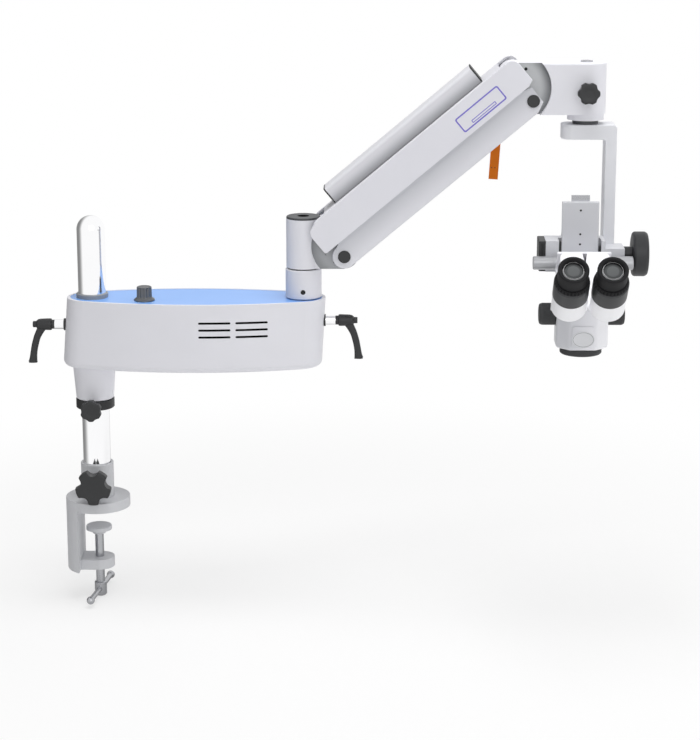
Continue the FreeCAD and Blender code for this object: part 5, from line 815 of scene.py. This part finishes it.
def seam_shadow_strip():
    """Mid grey strip in the corner between the spring cover's front and the upper cover: a painted
    shadow line.
    """
    back = -COVER_FACE + 0.1
    section = ((-2.5, 0), (0, 0), (0, 1.0), (-1.3, 0.9), (-2.3, 0.4))
    rings = [[(x, back + y, UPPER_TOP + z) for y, z in section] for x in (39, 307.5)]
    put("seam_shadow_strip", stacked("seam_shadow_strip", rings, arm_frame()), "seam_shadow_grey", "upper_link")


def hub_well_shade():
    """A black lining in the blind hole in the middle of the hub's cap: painted shade at the hole's
    bottom.
    """
    profile = rounded([(8.4, 434.6), (8.2, 433.6), (5, 432.4), (0, 432.2)], 0.8)
    mesh = turned("hub_well_shade", profile, moved((COLUMN, 0, 0)), segments=64, caps=False)
    put("hub_well_shade", mesh, "filter_and_hole_shade_black", "column")


def vent_screens():
    """Black filter strips that follow the housing's bowed wall, just behind its vents."""
    wall = BVHTree.FromPolygons(*cad_faces("housing_shell"))
    half_length, half_height, above, thick = 23, 1.9, 2.6, 0.5
    behind = 0.7
    stops = 8
    meshes = []
    for middle in (180.5, 233.5):
        for height in (269, 279.2, 289.4):
            rings = []
            for n in range(stops + 1):
                x = middle - half_length + 2 * half_length * n / stops
                level = [wall.ray_cast(Vector((x, -200, height + rise)) * mm, (0, 1, 0))[0].y / mm
                         for rise in (-above, above)]
                front = sum(level) / 2 + behind
                rings.append([(x, front, height - half_height), (x, front, height + half_height),
                              (x, front + thick, height + half_height),
                              (x, front + thick, height - half_height)])
            meshes.append(stacked("strip", rings, Matrix.Identity(4)))
    put("vent_screens", join("vent_screens", *meshes), "filter_and_hole_shade_black", "housing")


# Floor, light and camera

def seen_rays(tree):
    """One for rays that show the background: from the camera, in gloss or through glass."""
    path = add(tree, "LightPath")
    sight = add(tree, "Math", {0: path.outputs["Is Camera Ray"], 1: path.outputs["Is Glossy Ray"]},
                operation="MAXIMUM")
    return add(tree, "Math", {0: sight.outputs[0], 1: path.outputs["Is Transmission Ray"]},
               operation="MAXIMUM").outputs[0]


def grey_aside(tree, direction):
    """What gloss shows of the surroundings: white, but grey behind on the left.

    It gives the edges of chrome and steel something to mirror."""
    aside = add(tree, "VectorMath", {0: direction, 1: (-0.8, 0.6, 0)}, operation="DOT_PRODUCT")
    card = add(tree, "MapRange", {"Value": aside.outputs["Value"]}, From_Min=0.5, From_Max=0.97,
               To_Min=0.0, To_Max=0.75, interpolation_type="SMOOTHSTEP")
    gloss = add(tree, "LightPath").outputs["Is Glossy Ray"]
    fall = add(tree, "Math", {0: card.outputs["Result"], 1: gloss}, operation="MULTIPLY")
    return add(tree, "Math", {0: 1.0, 1: fall.outputs[0]}, operation="SUBTRACT").outputs[0]


def floor():
    """Pale floor that runs out to plain white and keeps the object's shadow near it."""
    span = 14
    near, far, near_share = 0.45, 1.2, 0.62
    level = cad_box[0][2] - mm
    middle = (0.36, 0, level)
    mesh = bpy.data.meshes.new("floor")
    mesh.from_pydata([(-span, -span, level), (span, -span, level), (span, span, level),
                      (-span, span, level)], [], [(0, 1, 2, 3)])
    thing = bpy.data.objects.new("floor", mesh)
    bpy.context.collection.objects.link(thing)
    material, tree, painted = surface("floor_white", Base_Color=colour("#f7f7f7"), Roughness=0.8,
                                      Specular_IOR_Level=0.1)
    out = add(tree, "VectorMath", {0: add(tree, "TexCoord").outputs["Object"], 1: middle},
              operation="SUBTRACT")
    away = add(tree, "VectorMath", {0: out.outputs[0]}, operation="LENGTH")
    spread = add(tree, "MapRange", {"Value": away.outputs["Value"]}, From_Min=near, From_Max=far,
                 To_Min=near_share, To_Max=1.0, interpolation_type="SMOOTHSTEP")
    share = add(tree, "Math", {0: spread.outputs["Result"], 1: seen_rays(tree)},
                operation="MULTIPLY")
    heading = add(tree, "VectorMath", {0: out.outputs[0]}, operation="NORMALIZE")
    glow = add(tree, "Emission", {"Strength": grey_aside(tree, heading.outputs[0])})
    mixed = add(tree, "MixShader", {0: share.outputs[0], 1: painted.outputs[0],
                                    2: glow.outputs[0]})
    tree.links.new(mixed.outputs[0], tree.nodes["Material Output"].inputs["Surface"])
    mesh.materials.append(material)


def studio():
    """White surroundings, a little brighter on the right, soft lamps and the camera."""
    world = bpy.data.worlds.new("studio")
    world.use_nodes = True
    tree = world.node_tree
    white = (1, 1, 1, 1)
    heading = add(tree, "TexCoord").outputs["Generated"]
    side = add(tree, "SeparateXYZ", {"Vector": heading})
    level = add(tree, "MapRange", {"Value": side.outputs["X"]}, From_Min=-1.0, From_Max=1.0,
                To_Min=0.31, To_Max=0.46)
    soft = tree.nodes["Background"]
    soft.inputs["Color"].default_value = white
    tree.links.new(level.outputs["Result"], soft.inputs["Strength"])
    seen = add(tree, "Background", {"Strength": grey_aside(tree, heading)}, Color=white)
    mixed = add(tree, "MixShader", {0: seen_rays(tree), 1: soft.outputs[0], 2: seen.outputs[0]})
    tree.links.new(mixed.outputs[0], tree.nodes["World Output"].inputs["Surface"])
    bpy.context.scene.world = world
    aimed_at = Vector((0.4, 0, 0.35))
    for name, place, size, watts in (("top", (0.5, -0.35, 2.7), 1.6, 46),
                                     ("front", (0.9, -2.9, 1.5), 2.2, 15),
                                     ("right", (2.8, -0.3, 1.1), 1.6, 11)):
        lamp = bpy.data.lights.new(name, "AREA")
        lamp.energy = watts
        lamp.size = size
        holder = bpy.data.objects.new(name, lamp)
        holder.location = place
        holder.visible_glossy = name == "front"
        holder.rotation_euler = (aimed_at - Vector(place)).to_track_quat("-Z", "Y").to_euler()
        bpy.context.collection.objects.link(holder)
    camera = bpy.data.objects.new("camera", bpy.data.cameras.new("camera"))
    camera.data.lens = 106.735
    camera.data.sensor_width = 36
    camera.data.clip_end = 30
    camera.location = (0.41036, -3.10578, 0.990)
    camera.rotation_euler = (math.radians(90 - 14.15), 0, math.radians(0.68))
    bpy.context.collection.objects.link(camera)
    bpy.context.scene.camera = camera


for make in (post, knobs, levers, dial, drive_wheel, axle, eyepieces, objective, changer,
             nameplate, arm_label, panel_marks, small_screws, front_web, seam_shadow_strip, hub_well_shade,
             vent_screens, floor, studio):
    make()
bpy.context.scene.view_settings.view_transform = "Standard"
